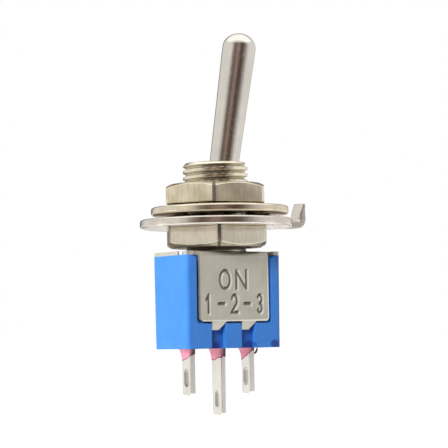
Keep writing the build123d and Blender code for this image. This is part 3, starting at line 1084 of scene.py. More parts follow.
@dataclass
class LockingRing(Fitting):
    """The keyed ring under the washer, with its locating tab bent up at the rim."""

    node = "locking_ring"
    finish = Finish.plated_ring
    bore: float = 2.6
    key_radius: float = 2.27
    key_width: float = 0.8
    tab_width: float = 1.36
    tab_reach: float = 8.16
    tab_bend: float = 0.75
    tab_lean: float = 0.02
    taper_start: float = 0.7
    shade_start: float = 0.4
    tab_thinner: float = 0.1
    tip_thickness: float = 0.2
    tip_bend: float = 0.6
    rise: float = 0.65
    rim_break: float = 0.16
    bore_break: float = 0.04
    edge: float = 0.09
    key_edge: float = 0.05

    def build(self) -> bpy.types.Object:
        """Turn the ring's section, carry the tab's section along its bend and set the key in the bore.

        Returns:
            The piece.
        """
        box = Extent.of(self.node)
        low, radius = box.low[2], -box.low[0]
        high = Extent.of("backing_nut").high[2] + self.rise
        thickness = high - low - self.tab_thinner
        middle = (low + high) / 2
        corners = np.array([(self.bore, low), (radius, low), (radius, high), (self.bore, high)])
        breaks = [self.bore_break, self.rim_break, self.rim_break, self.bore_break]
        section = rounded(corners, breaks, 6, closed=True)
        skin = Skin().grid(turned(section, 180), True, True)
        reach = self.tab_reach - thickness / 2
        tip = self.tab_reach - self.tip_thickness / 2
        root, bend, end = (radius - self.key_width, middle), (reach, middle), (tip, box.high[2])
        path = np.array([root, bend, (reach + self.tab_lean, middle + 1), end])
        path = rounded(path, [0, self.tab_bend, self.tip_bend, 0], 12)
        half = np.full(len(path), self.tab_width / 2)
        tapered = np.interp(path[:, 1], [middle + self.taper_start, box.high[2]], [thickness, self.tip_thickness])
        tab = strip(path, -half, half, tapered, self.edge, 0.2)
        # Painted shade along the tab's edge on the -Y side, out past the rim.
        sheared = np.clip((self.edge - self.tab_width / 2 - tab[..., 2]) / self.edge * 2, 0, 1)
        skin.grid(tab[..., [0, 2, 1]], False, True, sheared * (tab[..., 0] > radius + self.shade_start))
        key = np.array([(self.key_radius, middle), (self.bore + self.key_width, middle)])
        half = np.full(2, self.key_width / 2)
        skin.grid(strip(key, -half, half, thickness, self.key_edge)[..., [0, 2, 1]], False, True)
        return skin.piece("locking_ring_stamped")


@dataclass
class LockWasher(Fitting):
    """The internal-tooth lock washer: a rolled rim, and teeth twisted out of its plane."""

    node = "lock_washer"
    finish = Finish.plated_washer
    shift: tuple[float, float] = (0.25, -0.16)
    rim_inner: float = 3.55
    tooth_tip: float = 2.86
    tooth_width: float = 1.15
    teeth: int = 10
    twist: float = 30.0
    tooth_level: float = -2.15
    root_share: float = 0.62
    tip_share: float = 0.5
    root_overlap: float = 0.35
    twist_start: float = 0.25
    twist_rate: float = 2.0
    edge: float = 0.10
    rim_breaks: tuple[float, float, float, float] = (0.08, 0.2, 0.2, 0.08)
    rim_level: float = -2.09
    thickness: float = 0.64

    def tooth(self, place: int) -> np.ndarray:
        """One tooth: a strip along a spoke whose width turns out of the rim's plane on its way in.

        Args:
            place: the tooth's number.

        Returns:
            The grid, (rows, loop, 3).
        """
        path = np.array([(self.rim_inner + self.root_overlap, 0.0), (self.tooth_tip, 0.0)])
        half = np.array([self.root_share, self.tip_share]) * self.tooth_width
        flat = strip(path, -half, half, self.thickness, self.edge, 0.08)
        bend = self.rim_inner + self.twist_start
        inwards = (bend - flat[..., 0]) / (bend - self.tooth_tip)
        twist = np.radians(self.twist) * np.clip(inwards * self.twist_rate, 0, 1)
        wide = flat[..., 2] * np.cos(twist) - flat[..., 1] * np.sin(twist)
        high = flat[..., 2] * np.sin(twist) + flat[..., 1] * np.cos(twist)
        spoke = 2 * np.pi * place / self.teeth
        x = flat[..., 0] * np.cos(spoke) - wide * np.sin(spoke)
        y = flat[..., 0] * np.sin(spoke) + wide * np.cos(spoke)
        return np.stack([x + self.shift[0], y + self.shift[1], high + self.tooth_level], -1)

    def build(self) -> bpy.types.Object:
        """Turn the rim and set the teeth in it.

        Returns:
            The piece.
        """
        box = Extent.of(self.node)
        radius = (box.high[0] - box.low[0]) / 2
        low, high = self.rim_level - self.thickness / 2, self.rim_level + self.thickness / 2
        corners = np.array([(self.rim_inner, low), (radius, low), (radius, high), (self.rim_inner, high)])
        rim = turned(rounded(corners, self.rim_breaks, 7, closed=True), 180) + np.array([*self.shift, 0])
        skin = Skin().grid(rim, True, True)
        for place in range(self.teeth):
            skin.grid(self.tooth(place), False, True)
        return skin.piece("lock_washer_toothed")


# ---- Lever ---------------------------------------------------------------------------------


@dataclass
class Lever:
    """The bat lever with its ball, its bored tail and its cross pin."""

    pivot: tuple[float, float, float] = (0.0, 0.0, -3.12)
    lean: float = 10.0
    top: float = 15.3
    shank_radius: float = 1.055
    head_radius: float = 1.30
    head_height: float = 13.5
    dome_height: float = 1.12
    shoulder_radius: float = 0.92
    ball_radius: float = 1.36
    tail_radius: float = 0.85
    tail_length: float = 5.1
    tail_top: float = -1.2
    tail_break: float = 0.05
    bore_break: float = 0.04
    bore: float = 0.5
    bore_top: float = 1.6
    pin_radius: float = 0.32
    pin_reach: float = 1.95
    pin_edge: float = 0.06

    def profile(self) -> np.ndarray:
        """The lever's half section: the domed head, the long taper, the ball and the bored tail.

        The dome is a shoulder arc followed by a flatter crown arc that is tangent to it.

        Returns:
            Radius and distance along the lever, from the top down and back up inside the bore.
        """
        base = self.top - self.dome_height
        reach = self.head_radius - self.shoulder_radius
        excess = self.dome_height - self.shoulder_radius
        crown = (reach**2 + self.dome_height**2 - self.shoulder_radius**2) / (2 * excess)
        drop = crown - self.dome_height
        meet = math.degrees(math.atan2(drop, reach))
        ball_top = math.degrees(math.acos(self.shank_radius / self.ball_radius))
        ball_low = math.degrees(math.acos(self.tail_radius / self.ball_radius))
        height = np.linspace(self.head_height, self.ball_radius * math.sin(math.radians(ball_top)) + 0.02, 60)
        slope = (height - height[-1]) / (height[0] - height[-1])
        taper = np.column_stack([self.shank_radius + (self.head_radius - self.shank_radius) * slope, height])
        foot, tail = -self.tail_length, self.tail_radius
        return np.vstack(
            [
                arc((0, base - drop), crown, 90, meet, 14),
                arc((reach, base), self.shoulder_radius, meet, 0, 14)[1:],
                np.column_stack([np.full(5, self.head_radius), np.linspace(base - 0.02, self.head_height + 0.05, 5)]),
                taper,
                arc((0, 0), self.ball_radius, ball_top, -ball_low, 24),
                [(tail, self.tail_top), (tail, foot + self.tail_break), (tail - self.tail_break, foot)],
                [(self.bore + self.bore_break, foot), (self.bore, foot + self.bore_break)],
                [(self.bore, -self.bore_top), (0, self.bore - self.bore_top)],
            ]
        )

    def build(self) -> bpy.types.Object:
        """Turn the lever and lean it over."""
        points = turned(self.profile(), 144)
        return Skin().grid(leaned(points, self.pivot, self.lean), True).piece("lever_turned")

    def pin(self) -> bpy.types.Object:
        """Turn the cross pin, lay it along Y and set it through the ball.

        Returns:
            The piece.
        """
        end, radius, edge = self.pin_reach, self.pin_radius, self.pin_edge
        half = np.array([(0, end), (radius - edge, end), (radius, end - edge)])
        profile = np.vstack([half, half[::-1] * (1, -1)])
        points = turned(profile, 48)[..., [0, 2, 1]]
        return Skin().grid(leaned(points, self.pivot, self.lean), True).piece("lever_pin_ground")

    def dress(self) -> None:
        """Build the lever and its pin and give them their finishes."""
        deliver(self.build(), "lever", "toggle", Finish.polished_lever)
        deliver(self.pin(), "lever_pin", "toggle", Finish.spring_wire)


# ---- Stamped marking -----------------------------------------------------------------------


class Glyph(Enum):
    """Single-stroke characters on a cell one unit wide and one unit high, as runs of points."""

    O = "round"
    N = ((0, 0), (0, 1), (1, 0), (1, 1))
    ONE = ((0.25, 0.75), (0.5, 1), (0.5, 0))
    TWO = "two"
    THREE = "three"
    DASH = ((0.15, 0.5), (0.85, 0.5))

    def stroke(self) -> np.ndarray:
        """The character's centre line.

        Returns:
            Its points on the cell, (n, 2).
        """
        if self is Glyph.O:
            return arc((0.5, 0.5), 0.5, 0, 360, 28)
        if self is Glyph.TWO:
            return np.vstack([arc((0.5, 0.68), 0.32, 160, -35, 12), [(0.12, 0), (0.88, 0)]])
        if self is Glyph.THREE:
            return np.vstack([arc((0.48, 0.75), 0.25, 150, -90, 10), arc((0.48, 0.26), 0.26, 90, -150, 12)])
        return np.array(self.value, float)


@dataclass
class Marking:
    """Generic switch marking stamped into the flange: ON over the three lug numbers."""

    depth: float = 0.15
    half_stroke: float = 0.055
    wall: float = 0.13
    spacing: float = 0.022
    top_row: tuple[Glyph, ...] = (Glyph.O, Glyph.N)
    low_row: tuple[Glyph, ...] = (Glyph.ONE, Glyph.DASH, Glyph.TWO, Glyph.DASH, Glyph.THREE)
    top_box: tuple[float, float, float, float] = (-1.40, 1.27, -8.27, -6.67)
    low_box: tuple[float, float, float, float] = (-2.84, 2.88, -10.09, -8.53)
    top_gap: float = 0.36
    low_gap: float = 0.2
    window_margin: tuple[float, float] = (0.1, 0.2)
    lip_height: float = 0.008
    lip_place: float = 1.8
    lip_width: float = 0.9
    floor_shade: float = 0.8
    wall_shading: float = 1.5
    downward: float = 0.6

    def strokes(self) -> list[np.ndarray]:
        """Every character's centre line, set out in its row's box with gaps between cells.

        Returns:
            The lines, each (n, 2), in millimetres.
        """
        lines = []
        rows = ((self.top_row, self.top_box, self.top_gap), (self.low_row, self.low_box, self.low_gap))
        for row, (left, right, low, high), gap in rows:
            width = (right - left - gap * (len(row) - 1)) / len(row)
            margin = self.half_stroke + self.wall / 2
            for place, glyph in enumerate(row):
                start = left + place * (width + gap) + margin
                size = np.array([width - 2 * margin, high - low - 2 * margin])
                lines.append(glyph.stroke() * size + np.array([start, low + margin]))
        return lines

    def field(self) -> tuple[np.ndarray, np.ndarray, np.ndarray, np.ndarray]:
        """The stamped field as a height over a grid.

        A point's depth is the full depth inside half a stroke of the nearest centre line, and rises
        to the face over the wall's width in a smooth step, with a faint raised lip outside it.

        The walls that face right or down get painted shade and the walls across from them a painted highlight: a
        little painted shade lies on the stroke's floor, and more as the depth's slope points right and down.

        Returns:
            The grid's x and z, the depth and the painted shading, all (rows, columns); below 0 it is a painted
            highlight.
        """
        beside, beyond = self.window_margin
        left, right = self.low_box[0] - beside, self.low_box[1] + beside
        low, high = self.low_box[2] - beyond, self.top_box[3] + beyond
        across = np.linspace(left, right, int((right - left) / self.spacing))
        upward = np.linspace(low, high, int((high - low) / self.spacing))
        x, z = np.meshgrid(across, upward)
        distance = np.full(x.shape, np.inf)
        for line in self.strokes():
            for start, end in zip(line[:-1], line[1:]):
                run = end - start
                share = ((x - start[0]) * run[0] + (z - start[1]) * run[1]) / (run @ run)
                share = np.clip(share, 0, 1)
                gap = np.hypot(x - start[0] - share * run[0], z - start[1] - share * run[1])
                distance = np.minimum(distance, gap)
        rise = np.clip((distance - self.half_stroke) / self.wall, 0, 1)
        depth = self.depth * (1 - rise * rise * (3 - 2 * rise))
        from_lip = np.abs(distance - self.half_stroke - self.wall * self.lip_place)
        lip = np.clip(1 - from_lip / (self.wall * self.lip_width), 0, 1)
        # Painted shade on the floor and on walls that face right or down; a painted highlight on the walls across.
        climb, run = np.gradient(depth, self.spacing)
        steepest = 1.5 * self.depth / self.wall
        slope = (run - self.downward * climb) / steepest
        stroke_shading = self.floor_shade * depth / self.depth + self.wall_shading * slope
        return x, z, depth - self.lip_height * lip, np.clip(stroke_shading, -1, 1)


# ---- Case, frame, lugs and resin -----------------------------------------------------------


@dataclass(frozen=True)
class Terminal:
    """One lug: its place along X, half its thickness, its slot, and how much the resin slants on it."""

    place: float
    half_thickness: float
    slot_length: float
    slot_width: float
    resin_slant: float


TERMINALS = {
    "terminal_1": Terminal(-2.75, 0.225, 1.4, 0.6, 0.26),
    "common_terminal": Terminal(0.0, 0.21, 1.25, 0.45, 0.16),
    "terminal_3": Terminal(2.75, 0.225, 1.4, 0.6, 0.36),
}


@dataclass
class Housing:
    """The moulded case, the stamped frame clamped over it, the lugs and the resin round them."""

    case_edge: float = 0.10
    groove_depth: float = 0.55
    groove_margins: tuple[float, float] = (-0.05, 0.1)
    nub_height: float = 0.2
    front: float = 2.4
    frame_edge: float = 0.04
    sheared_depth: float = 0.28
    sheared_levels: tuple[float, float] = (-10.64, -6.0)
    sheared_shade: float = 0.9
    rim_width: float = 0.11
    rim_highlight: tuple[float, float] = (2.0, -1.6)
    tabs: tuple[float, float] = (-1.45, 1.54)
    tab_half: float = 0.8
    tab_root: float = -10.3
    lug_edge: float = 0.05
    lug_side_shade: float = 0.5
    slot_foot: float = 0.68
    marking: Marking = field(default_factory=Marking)
    resin_margin: float = 0.115
    resin_swing: float = 0.085
    resin_tip: float = 0.02
    resin_fall: float = 2.2
    poured_from: float = 135.0
    climbed_from: float = 110.0
    resin_corner: float = 0.05
    hair_place: float = 0.31
    hair_size: tuple[float, float, float] = (0.25, 0.42, 0.09)
    pool_rise: float = 0.05
    pool_wave: float = 0.02
    pool_fall: float = 0.12

    def case(self) -> bpy.types.Object:
        """Round the case's edges, and mark a painted highlight on the nubs on its rim and painted shade on the floors
        of its grooves.

        Returns:
            The piece.
        """
        copy = broken_edges("case", self.case_edge)
        box = Extent.of("case")
        floor = box.high[1] - self.groove_depth
        scuffed = copy.faces.layers.float.new("scuffed")
        pressed = copy.faces.layers.float.new("pressed")
        for face in copy.faces:
            _, y, z = face.calc_center_median() / MM
            inside = floor + self.groove_margins[0] < abs(y) < floor + self.groove_margins[1]
            # Painted highlight on the nub tops.
            face[scuffed] = float(z > box.high[2] - self.nub_height)
            # Painted shade on the groove floors.
            face[pressed] = float(inside and abs(face.normal.y) > 0.5)
        return from_copy("case_moulded", copy)

    def stamped_frame(self) -> bpy.types.Object:
        """Round the frame's edges, and press the marking into its front.

        The rims of both flanges get a painted highlight where they face right or down, and the sheared edges behind
        them get painted shade.

        Returns:
            The piece.
        """
        copy = broken_edges("switch_frame", self.frame_edge)
        pressed = copy.verts.layers.float.new("pressed")
        low, high = self.sheared_levels
        for vertex in copy.verts:
            _, y, z = vertex.co / MM
            # Painted shade on the sheared edges behind the flanges.
            if 0.6 * self.frame_edge < self.front - abs(y) < self.sheared_depth and low < z < high:
                vertex[pressed] = self.sheared_shade
        flats = []
        for side in (-1, 1):
            facing = [face for face in copy.faces if face.normal.y * side > 0.99]
            level = [face for face in facing if abs(face.calc_center_median().y * side / MM - self.front) < 0.02]
            flats.append(max(level, key=lambda face: face.calc_area()))
        for face in flats:
            self.highlight_rim(copy, face, pressed)
        self.press_marking(copy, flats[0], pressed)
        bmesh.ops.remove_doubles(copy, verts=copy.verts, dist=1e-8)
        return from_copy("switch_frame_stamped", copy)

    def press_marking(self, copy: bmesh.types.BMesh, face: bmesh.types.BMFace, pressed: Any) -> None:
        """Take a flat face out, fill it again round a window and put the marking's grid in there.

        Args:
            copy: the frame's copy.
            face: its front's flat face.
            pressed: the layer that takes the strokes' painted shade and highlight.
        """
        level = face.calc_center_median().y / MM
        rim = [vertex.co.copy() for vertex in face.verts]
        bmesh.ops.delete(copy, geom=[face], context="FACES_ONLY")
        x, z, depth, stroke_shading = self.marking.field()
        grid = np.stack([x, level + depth, z], -1)
        border = np.concatenate([grid[0], grid[1:, -1], grid[-1, -2::-1], grid[-2:0:-1, 0]])
        border[:, 1] = level
        grid[0, :, 1] = grid[-1, :, 1] = level
        grid[:, 0, 1] = grid[:, -1, 1] = level
        window = [Vector(point * MM) for point in border]
        flat = [[Vector((point.x, point.z, 0)) for point in loop] for loop in (rim, window)]
        made = [copy.verts.new(point) for point in rim + window]
        for a, b, c in tessellate_polygon(flat):
            corners = [made[a], made[b], made[c]]
            normal = (corners[1].co - corners[0].co).cross(corners[2].co - corners[0].co)
            if normal.length > 0:
                copy.faces.new(corners if normal.y < 0 else corners[::-1])
        rows, columns = x.shape
        points = [copy.verts.new(point * MM) for point in grid.reshape(-1, 3)]
        # The strokes' painted shade and highlight.
        for point, share in zip(points, stroke_shading.ravel()):
            point[pressed] = share
        for row in range(rows - 1):
            for column in range(columns - 1):
                a = row * columns + column
                copy.faces.new((points[a], points[a + 1], points[a + columns + 1], points[a + columns]))

    def highlight_rim(self, copy: bmesh.types.BMesh, face: bmesh.types.BMFace, pressed: Any) -> None:
        """Inset a flat face, and paint a highlight on the new rim where it faces right or down, but not at the tabs.

        Args:
            copy: the frame's copy.
            face: one of its flat faces.
            pressed: the layer that takes the painted highlight.
        """
        bmesh.ops.inset_region(copy, faces=[face], thickness=self.rim_width * MM, use_even_offset=True)
        for inner in face.verts:
            for edge in inner.link_edges:
                outer = edge.other_vert(inner)
                aside = min(abs(outer.co.x / MM - x) for x in self.tabs)
                tabbed = inner.co.z < self.tab_root * MM and aside < self.tab_half
                if outer not in face.verts[:] and not tabbed:
                    # A painted highlight, kept below zero in the layer.
                    outward = (outer.co - inner.co).normalized()
                    outer[pressed] = -max(0.0, self.rim_highlight[0] * outward.x + self.rim_highlight[1] * outward.z)

    def lug(self, node: str) -> bpy.types.Object:
        """Round a lug's edges, and paint shade on its slot's walls and its sheared sides, which are also duller.

        A wall's faces are within half the slot's width of the slot's middle line.

        Args:
            node: the lug's node.

        Returns:
            The piece.
        """
        copy = broken_edges(node, self.lug_edge)
        length, width = TERMINALS[node].slot_length, TERMINALS[node].slot_width
        low = Extent.of(node).low[2] + self.slot_foot + width / 2
        high = low + length - width
        pressed = copy.faces.layers.float.new("pressed")
        for face in copy.faces:
            _, y, z = face.calc_center_median() / MM
            gap = math.hypot(y, z - min(max(z, low), high))
            # Painted shade in the slot and on the lug's narrow sides.
            walled = gap < width / 2 + self.lug_edge and abs(face.normal.x) < 0.8
            face[pressed] = 1.0 if walled else self.lug_side_shade * float(abs(face.normal.y) > 0.8)
        return from_copy(f"{node}_tinned", copy)

    def skirt(self, node: str, top: float, drop: float) -> tuple[np.ndarray, np.ndarray]:
        """The resin that climbs a lug.

        At depth t the ring's margin is tip + (foot - tip) * (1 - t) ^ fall, a meniscus, on a rounded
        rectangle round the lug. The foot is widest towards -X and +Y, where the resin was poured, and
        there it also climbs furthest: by the drop times 1 - s + s * cos a, a being the angle from there.

        Args:
            node: the lug's node.
            top: the level where the skirt starts.
            drop: how far the resin climbs.

        Returns:
            The grid, (rows, loop, 3), and the painted shade at each point.
        """
        lug = TERMINALS[node]
        x, y = lug.half_thickness, Extent.of(node).high[1]
        loop = rounded(np.array([(-x, -y), (x, -y), (x, y), (-x, y)]), self.resin_corner, 6, closed=True)
        loop = resampled(np.vstack([loop, loop[:1]]), 0.08)[1][:-1]
        turn = np.arctan2(loop[:, 1] / y, loop[:, 0] / x)
        outward = np.sign(loop) * (np.abs(loop) > np.array([x, y]) - self.resin_corner)
        t = np.linspace(0, 1, 16)[:, None]
        poured = np.cos(turn - math.radians(self.poured_from))
        foot = self.resin_margin + self.resin_swing * poured
        margin = self.resin_tip + (foot - self.resin_tip) * (1 - t) ** self.resin_fall
        lean = 1 - lug.resin_slant + lug.resin_slant * np.cos(turn - math.radians(self.climbed_from))
        level = top - t * drop * (lean + 0.03 * np.sin(5 * turn + lug.place))
        # Painted shade on the side away from the pour, and a painted shadow line along the skirt's lowest edge.
        dark = np.clip(0.15 - 1.3 * poured, 0, 1) + 0.7 * (t > 0.9)
        x, y = lug.place + loop[:, 0] + margin * outward[:, 0], loop[:, 1] + margin * outward[:, 1]
        grid = np.stack([x, y, level], -1)
        tip = np.stack([lug.place + loop[:, 0] * 0.9, loop[:, 1] * 0.9, level[-1]], -1)
        return np.concatenate([grid, tip[None]]), np.concatenate([dark, dark[-1:]])

    def hair(self, top: float) -> np.ndarray:
        """A hair of resin that loops out beside the right lug, under the case.

        It is part of a ring, ((a + r cos u) cos t, r sin u, -(b + r cos u) sin t) for t from 0 to 180
        degrees, and its thickness r goes as the fourth root of sin t, so that both ends close.

        Args:
            top: the level of the case's underside, where both ends are.

        Returns:
            The grid, (rows, loop, 3).
        """
        wide, deep, thick = self.hair_size
        t = np.radians(np.linspace(0, 180, 21))[:, None]
        u = np.radians(np.arange(0, 360, 36))[None]
        radius = thick * np.abs(np.sin(t)) ** 0.25
        x = TERMINALS["terminal_3"].place + self.hair_place + (wide + radius * np.cos(u)) * np.cos(t)
        y = radius * np.sin(u) - Extent.of("terminal_3").high[1] + thick
        return np.stack([x, y + 0 * t, top - (deep + radius * np.cos(u)) * np.sin(t)], -1)

    def resin(self) -> bpy.types.Object:
        """A cloudy pool in the well with a skirt round each lug.

        Returns:
            The piece.
        """
        box = Extent.of("epoxy_seal")
        low, high = box.low, box.high
        bottom = Extent.of("case").low[2]
        drop = bottom - low[2]
        x = np.linspace(low[0], high[0], 60)
        y = np.linspace(low[1], high[1], 30)
        grid_x, grid_y = np.meshgrid(x, y, indexing="ij")
        edge = np.min([grid_x - low[0], high[0] - grid_x, grid_y - low[1], high[1] - grid_y], axis=0)
        wave = self.pool_wave * np.sin(2.1 * grid_x + 0.4) * np.cos(2.7 * grid_y)
        level = bottom + self.pool_rise * (1 - np.exp(-edge / self.pool_fall)) + wave
        pool = np.stack([grid_x, grid_y, np.maximum(level, bottom)], -1)
        skin = Skin().grid(pool)
        top = pool.copy()
        top[..., 2] = high[2]
        skin.grid(top)
        for side in (0, -1):
            skin.grid(np.stack([pool[side], top[side]])).grid(np.stack([pool[:, side], top[:, side]]))
        for node in TERMINALS:
            grid, dark = self.skirt(node, bottom + self.pool_rise, drop + self.pool_rise)
            skin.grid(grid, False, True, dark)
        # The hair takes the dark colour all over.
        skin.grid(self.hair(bottom), False, True, 1.0)
        return skin.piece("epoxy_seal_poured")

    def dress(self) -> None:
        """Build the housing's pieces and give them their finishes."""
        deliver(self.case(), "case", "housing", Finish.blue_moulding)
        deliver(self.stamped_frame(), "switch_frame", "housing", Finish.plated_stamping)
        for node in TERMINALS:
            deliver(self.lug(node), node, "housing", Finish.plated_lug)
        deliver(self.resin(), "epoxy_seal", "housing", Finish.sealing_resin)


# ---- Snap mechanism ------------------------------------------------------------------------


@dataclass
class SnapMechanism:
    """The plunger, its spring, the rocker and the contacts, which keep the frame's own solids."""

    finishes: dict[str, Finish] = field(
        default_factory=lambda: {
            "plunger": Finish.nylon,
            "plunger_spring": Finish.spring_wire,
            "rocker": Finish.contact_strip,
            "moving_contact_1": Finish.silver_contact,
            "moving_contact_3": Finish.silver_contact,
            "fixed_contact_1": Finish.silver_contact,
            "fixed_contact_3": Finish.silver_contact,
        }
    )

    def dress(self) -> None:
        """Give each inner node its finish."""
        for node, finish in self.finishes.items():
            finish.dress(frame["nodes"][node])
            log.info("%s: finish %s", node, finish.name)


# ---- Studio --------------------------------------------------------------------------------

ROOM_SHADES = {
    -58: (1.0, 1.0, 1.0),
    -46: (0.80, 0.76, 0.76),
    -33: (0.33, 0.29, 0.26),
    -22: (0.13, 0.10, 0.085),
    -13: (0.24, 0.17, 0.15),
    0: (0.44, 0.32, 0.30),
    12: (0.22, 0.15, 0.13),
    24: (0.10, 0.07, 0.055),
    38: (0.14, 0.11, 0.10),
    48: (0.36, 0.32, 0.31),
    59: (0.56, 0.54, 0.55),
    67: (0.82, 0.82, 0.84),
    74: (0.92, 0.94, 0.97),
    80: (1.0, 1.0, 1.0),
}


@dataclass
class Studio:
    """A pale floor, soft lamps, a white surround and dark cards that only reflections see."""

    floor_gap: float = 10.0
    camera_turn: float = 34.15
    camera_rise: float = -3.26
    camera_roll: float = -1.02
    camera_distance: float = 150.0
    sensor: float = 36.0
    focal: float = 155.7
    target_side: float = 0.61
    target_level: float = -3.08
    ambient: float = 0.15
    floor_reach: float = 3000.0
    card_radius: float = 400.0
    card_half: float = 80.0
    card_rises: tuple[float, float] = (-25.0, 45.0)
    room_top: float = 34.0
    room_foot: float = -17.0
    apron: float = 45.0
    apron_fade: float = 12.0
    overhead_half: tuple[float, float] = (300.0, 150.0)
    overhead_level: float = 220.0
    lamp_distance: float = 350.0

    def axes(self) -> tuple[Vector, Vector, Vector]:
        """The camera's right, up and back directions before its roll.

        Returns:
            The three unit vectors.
        """
        turn, rise = math.radians(self.camera_turn), math.radians(self.camera_rise)
        back = Vector((-math.sin(turn) * math.cos(rise), -math.cos(turn) * math.cos(rise), math.sin(rise)))
        right = Vector((math.cos(turn), -math.sin(turn), 0))
        return right, back.cross(right), back

    def camera(self) -> None:
        """Set the camera up."""
        right, up, back = self.axes()
        target = right * self.target_side + Vector((0, 0, self.target_level))
        roll = math.radians(self.camera_roll)
        side = right * math.cos(roll) + up * math.sin(roll)
        rise = up * math.cos(roll) - right * math.sin(roll)
        lens = bpy.data.cameras.new("camera")
        lens.sensor_width = self.sensor
        lens.lens = self.focal
        lens.clip_start = 0.005
        lens.clip_end = 20.0
        camera = bpy.data.objects.new("camera", lens)
        bpy.context.scene.collection.objects.link(camera)
        matrix = Matrix((side, rise, back)).transposed().to_4x4()
        matrix.translation = (target + back * self.camera_distance) * MM
        camera.matrix_world = matrix
        bpy.context.scene.camera = camera

    def surround(self) -> None:
        """A world that is white to the camera and in reflections, and softer as a light."""
        world = bpy.data.worlds.new("surround")
        bpy.context.scene.world = world
        world.use_nodes = True
        tree = world.node_tree
        path = tree.nodes.new("ShaderNodeLightPath")
        seen = Shade(tree, path.outputs["Is Camera Ray"])
        for ray in ("Is Glossy Ray", "Is Transmission Ray"):
            seen = seen.at_least(Shade(tree, path.outputs[ray]))
        strength = self.ambient + seen * (1 - self.ambient)
        background = tree.nodes["Background"]
        background.inputs["Color"].default_value = (1, 1, 1, 1)
        tree.links.new(strength.socket, background.inputs["Strength"])

    def floor(self) -> None:
        """A pale floor that stays white to the camera, and that is clear when it is looked at from below."""
        level = FRAME_BOX[0][2] - self.floor_gap * MM
        reach = self.floor_reach * MM
        corners = [(x * reach, y * reach, level) for x, y in ((-1, -1), (1, -1), (1, 1), (-1, 1))]
        mesh = bpy.data.meshes.new("floor")
        mesh.from_pydata(corners, [], [(0, 1, 2, 3)])
        floor = bpy.data.objects.new("floor", mesh)
        bpy.context.scene.collection.objects.link(floor)
        recipe = Recipe("pale_floor")
        path = recipe.node("ShaderNodeLightPath")
        seen = Shade(recipe.tree, path.outputs["Is Camera Ray"])
        seen = seen.at_least(Shade(recipe.tree, path.outputs["Is Glossy Ray"]))
        cloud = recipe.noise(0.01, 2)
        recipe.finish(Base_Color=recipe.mix(cloud, (0.48, 0.48, 0.48), (0.52, 0.52, 0.52)), Roughness=0.9)
        recipe.finish(Emission_Color=(1.0, 1.0, 1.0), Specular_IOR_Level=0.0)
        back = Shade(recipe.tree, recipe.node("ShaderNodeNewGeometry").outputs["Backfacing"])
        recipe.finish(Emission_Strength=seen, Alpha=1 - back)
        mesh.materials.append(recipe.material)

    def card(self, name: str, facing: float, spread: float, apron_end: float) -> None:
        """A curved card that stands round the switch and shows only in its reflections.

        The card is part of an upright cylinder: (R sin a, -R cos a, R tan e), for a within card_half
        degrees of the facing angle, and a flat apron, (r sin a, -r cos a, L), that runs in from it just
        over the floor. Across both runs a dark brown room with a paler middle, and it turns white
        towards all of its edges.

        Args:
            name: the card's name.
            facing: its middle angle in degrees, 0 in front of the marked side and positive to the right.
            spread: how wide the room is, as a share of its full width.
            apron_end: where the apron stops, as a distance from the axis.
        """
        radius, half = self.card_radius, self.card_half
        angle = np.radians(np.linspace(facing - half, facing + half, 61) - 90)[:, None]
        rise = np.radians(np.linspace(*self.card_rises, 21))[None]
        upright = about_axis(radius, angle, radius * np.tan(rise) + self.target_level)
        near = FRAME_BOX[0][2] / MM - self.floor_gap + 0.5
        flat = about_axis(np.linspace(self.apron, apron_end, 12)[None], angle, near)
        card = Skin().grid(upright).grid(flat).piece(name, outward=False)
        recipe = Recipe(name)
        turn = math.radians(facing)
        x, y, z = (recipe.axis(axis) for axis in "XYZ")
        right = x * math.cos(turn) + y * math.sin(turn)
        ahead = x * math.sin(turn) - y * math.cos(turn)
        across = right.maths("ARCTAN2", right, ahead) * (180 / math.pi / spread)
        ramp = recipe.node("ShaderNodeValToRGB", {}, {"Fac": (across + half) / (2 * half)})
        ramp.color_ramp.elements.remove(ramp.color_ramp.elements[1])
        ramp.color_ramp.elements[0].position = 0.0
        ramp.color_ramp.elements[0].color = (1, 1, 1, 1)
        for stop, shade in ROOM_SHADES.items():
            ramp.color_ramp.elements.new((stop + half) / (2 * half)).color = (*shade, 1)
        above = (z / radius).above(math.tan(math.radians(self.room_top)), 0.10)
        below = 1 - (z / radius).above(math.tan(math.radians(self.room_foot)), 0.04)
        inner = 1 - span(x, y).above(self.apron + self.apron_fade, self.apron_fade)
        white = above.at_least(below).at_least(inner)
        self.reflect_only(card, recipe, recipe.mix(white, ramp.outputs["Color"], (1.0, 1.0, 1.0)), 1.0)

    def overhead(self) -> None:
        """A bright card high above the switch, wide across the view, which shows only in reflections."""
        right, _, _ = self.axes()
        wide, deep = self.overhead_half
        right, ahead = np.array(right) * wide, np.array((-right.y, right.x, 0.0)) * deep
        level = np.array((0.0, 0.0, self.overhead_level))
        corners = np.array([[level + x * right + y * ahead for x in (-1, 1)] for y in (-1, 1)])
        card = Skin().grid(corners).piece("overhead_card", outward=False)
        self.reflect_only(card, Recipe("overhead_glow"), (0.94, 0.97, 1.0), 1.65)

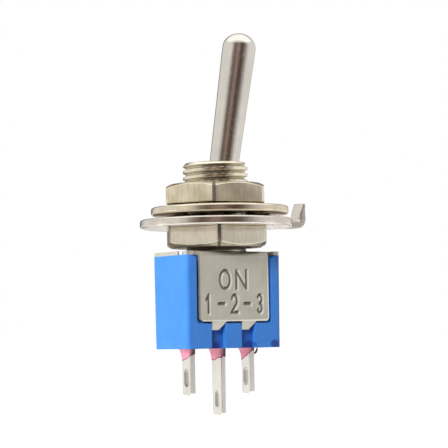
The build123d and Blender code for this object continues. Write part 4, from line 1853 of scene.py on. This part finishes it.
    def reflect_only(self, card: bpy.types.Object, recipe: Recipe, colour: Any, strength: float) -> None:
        """Finish and stage a card that only reflections see: black, with light of its own.

        Args:
            card: the card.
            recipe: its material, under way.
            colour: the light's colour or colour socket.
            strength: the light's strength.
        """
        recipe.finish(Base_Color=(0.0, 0.0, 0.0), Roughness=1.0, Specular_IOR_Level=0.0)
        recipe.finish(Emission_Color=colour, Emission_Strength=strength)
        card.data.materials.append(recipe.material)
        for hidden in ("camera", "diffuse", "shadow", "transmission"):
            setattr(card, f"visible_{hidden}", False)

    def lamp(self, name: str, direction: Sequence[float], size: float, power: float) -> None:
        """A soft square lamp aimed at the switch.

        Args:
            name: the lamp's name.
            direction: where it stands, from the switch.
            size: its side, in millimetres.
            power: its power, in watts.
        """
        light = bpy.data.lights.new(name, "AREA")
        light.size = size * MM
        light.energy = power
        lamp = bpy.data.objects.new(name, light)
        bpy.context.scene.collection.objects.link(lamp)
        away = Vector(direction).normalized()
        lamp.location = away * self.lamp_distance * MM
        lamp.visible_glossy = False
        lamp.rotation_mode = "QUATERNION"
        lamp.rotation_quaternion = away.to_track_quat("Z", "Y")

    def build(self) -> None:
        """Set up the camera, the surround, the floor, the cards and the lamps."""
        self.camera()
        self.surround()
        self.floor()
        self.card("front_card", -self.camera_turn, 1.0, self.card_radius)
        self.card("back_card", 180 - self.camera_turn, 0.55, 190.0)
        self.overhead()
        self.lamp("key_lamp", (-1.0, -0.7, 0.6), 90, 1.30)
        self.lamp("side_lamp", (-1.0, 0.4, 0.1), 120, 0.9)
        self.lamp("back_lamp", (1.0, 0.8, 0.5), 200, 1.3)
        bpy.context.scene.view_settings.view_transform = "Standard"


# ---- Assembly ------------------------------------------------------------------------------


def main() -> None:
    """Build the studio and every sub-assembly; each delivered piece logs its face count."""
    Studio().build()
    fittings = (
        Bushing(),
        HexNut("panel_nut", Finish.plated_nut, turn=-5.6, crown_up=True),
        HexNut("backing_nut", Finish.backing_nut, -0.7, False, corner_shading=(0.7, 0.7, 0.9, 1.0, 0.1, 0.7)),
        LockingRing(),
        LockWasher(),
    )
    for assembly in (*fittings, Lever(), Housing(), SnapMechanism()):
        assembly.dress()


if __name__ == "__main__":
    main()
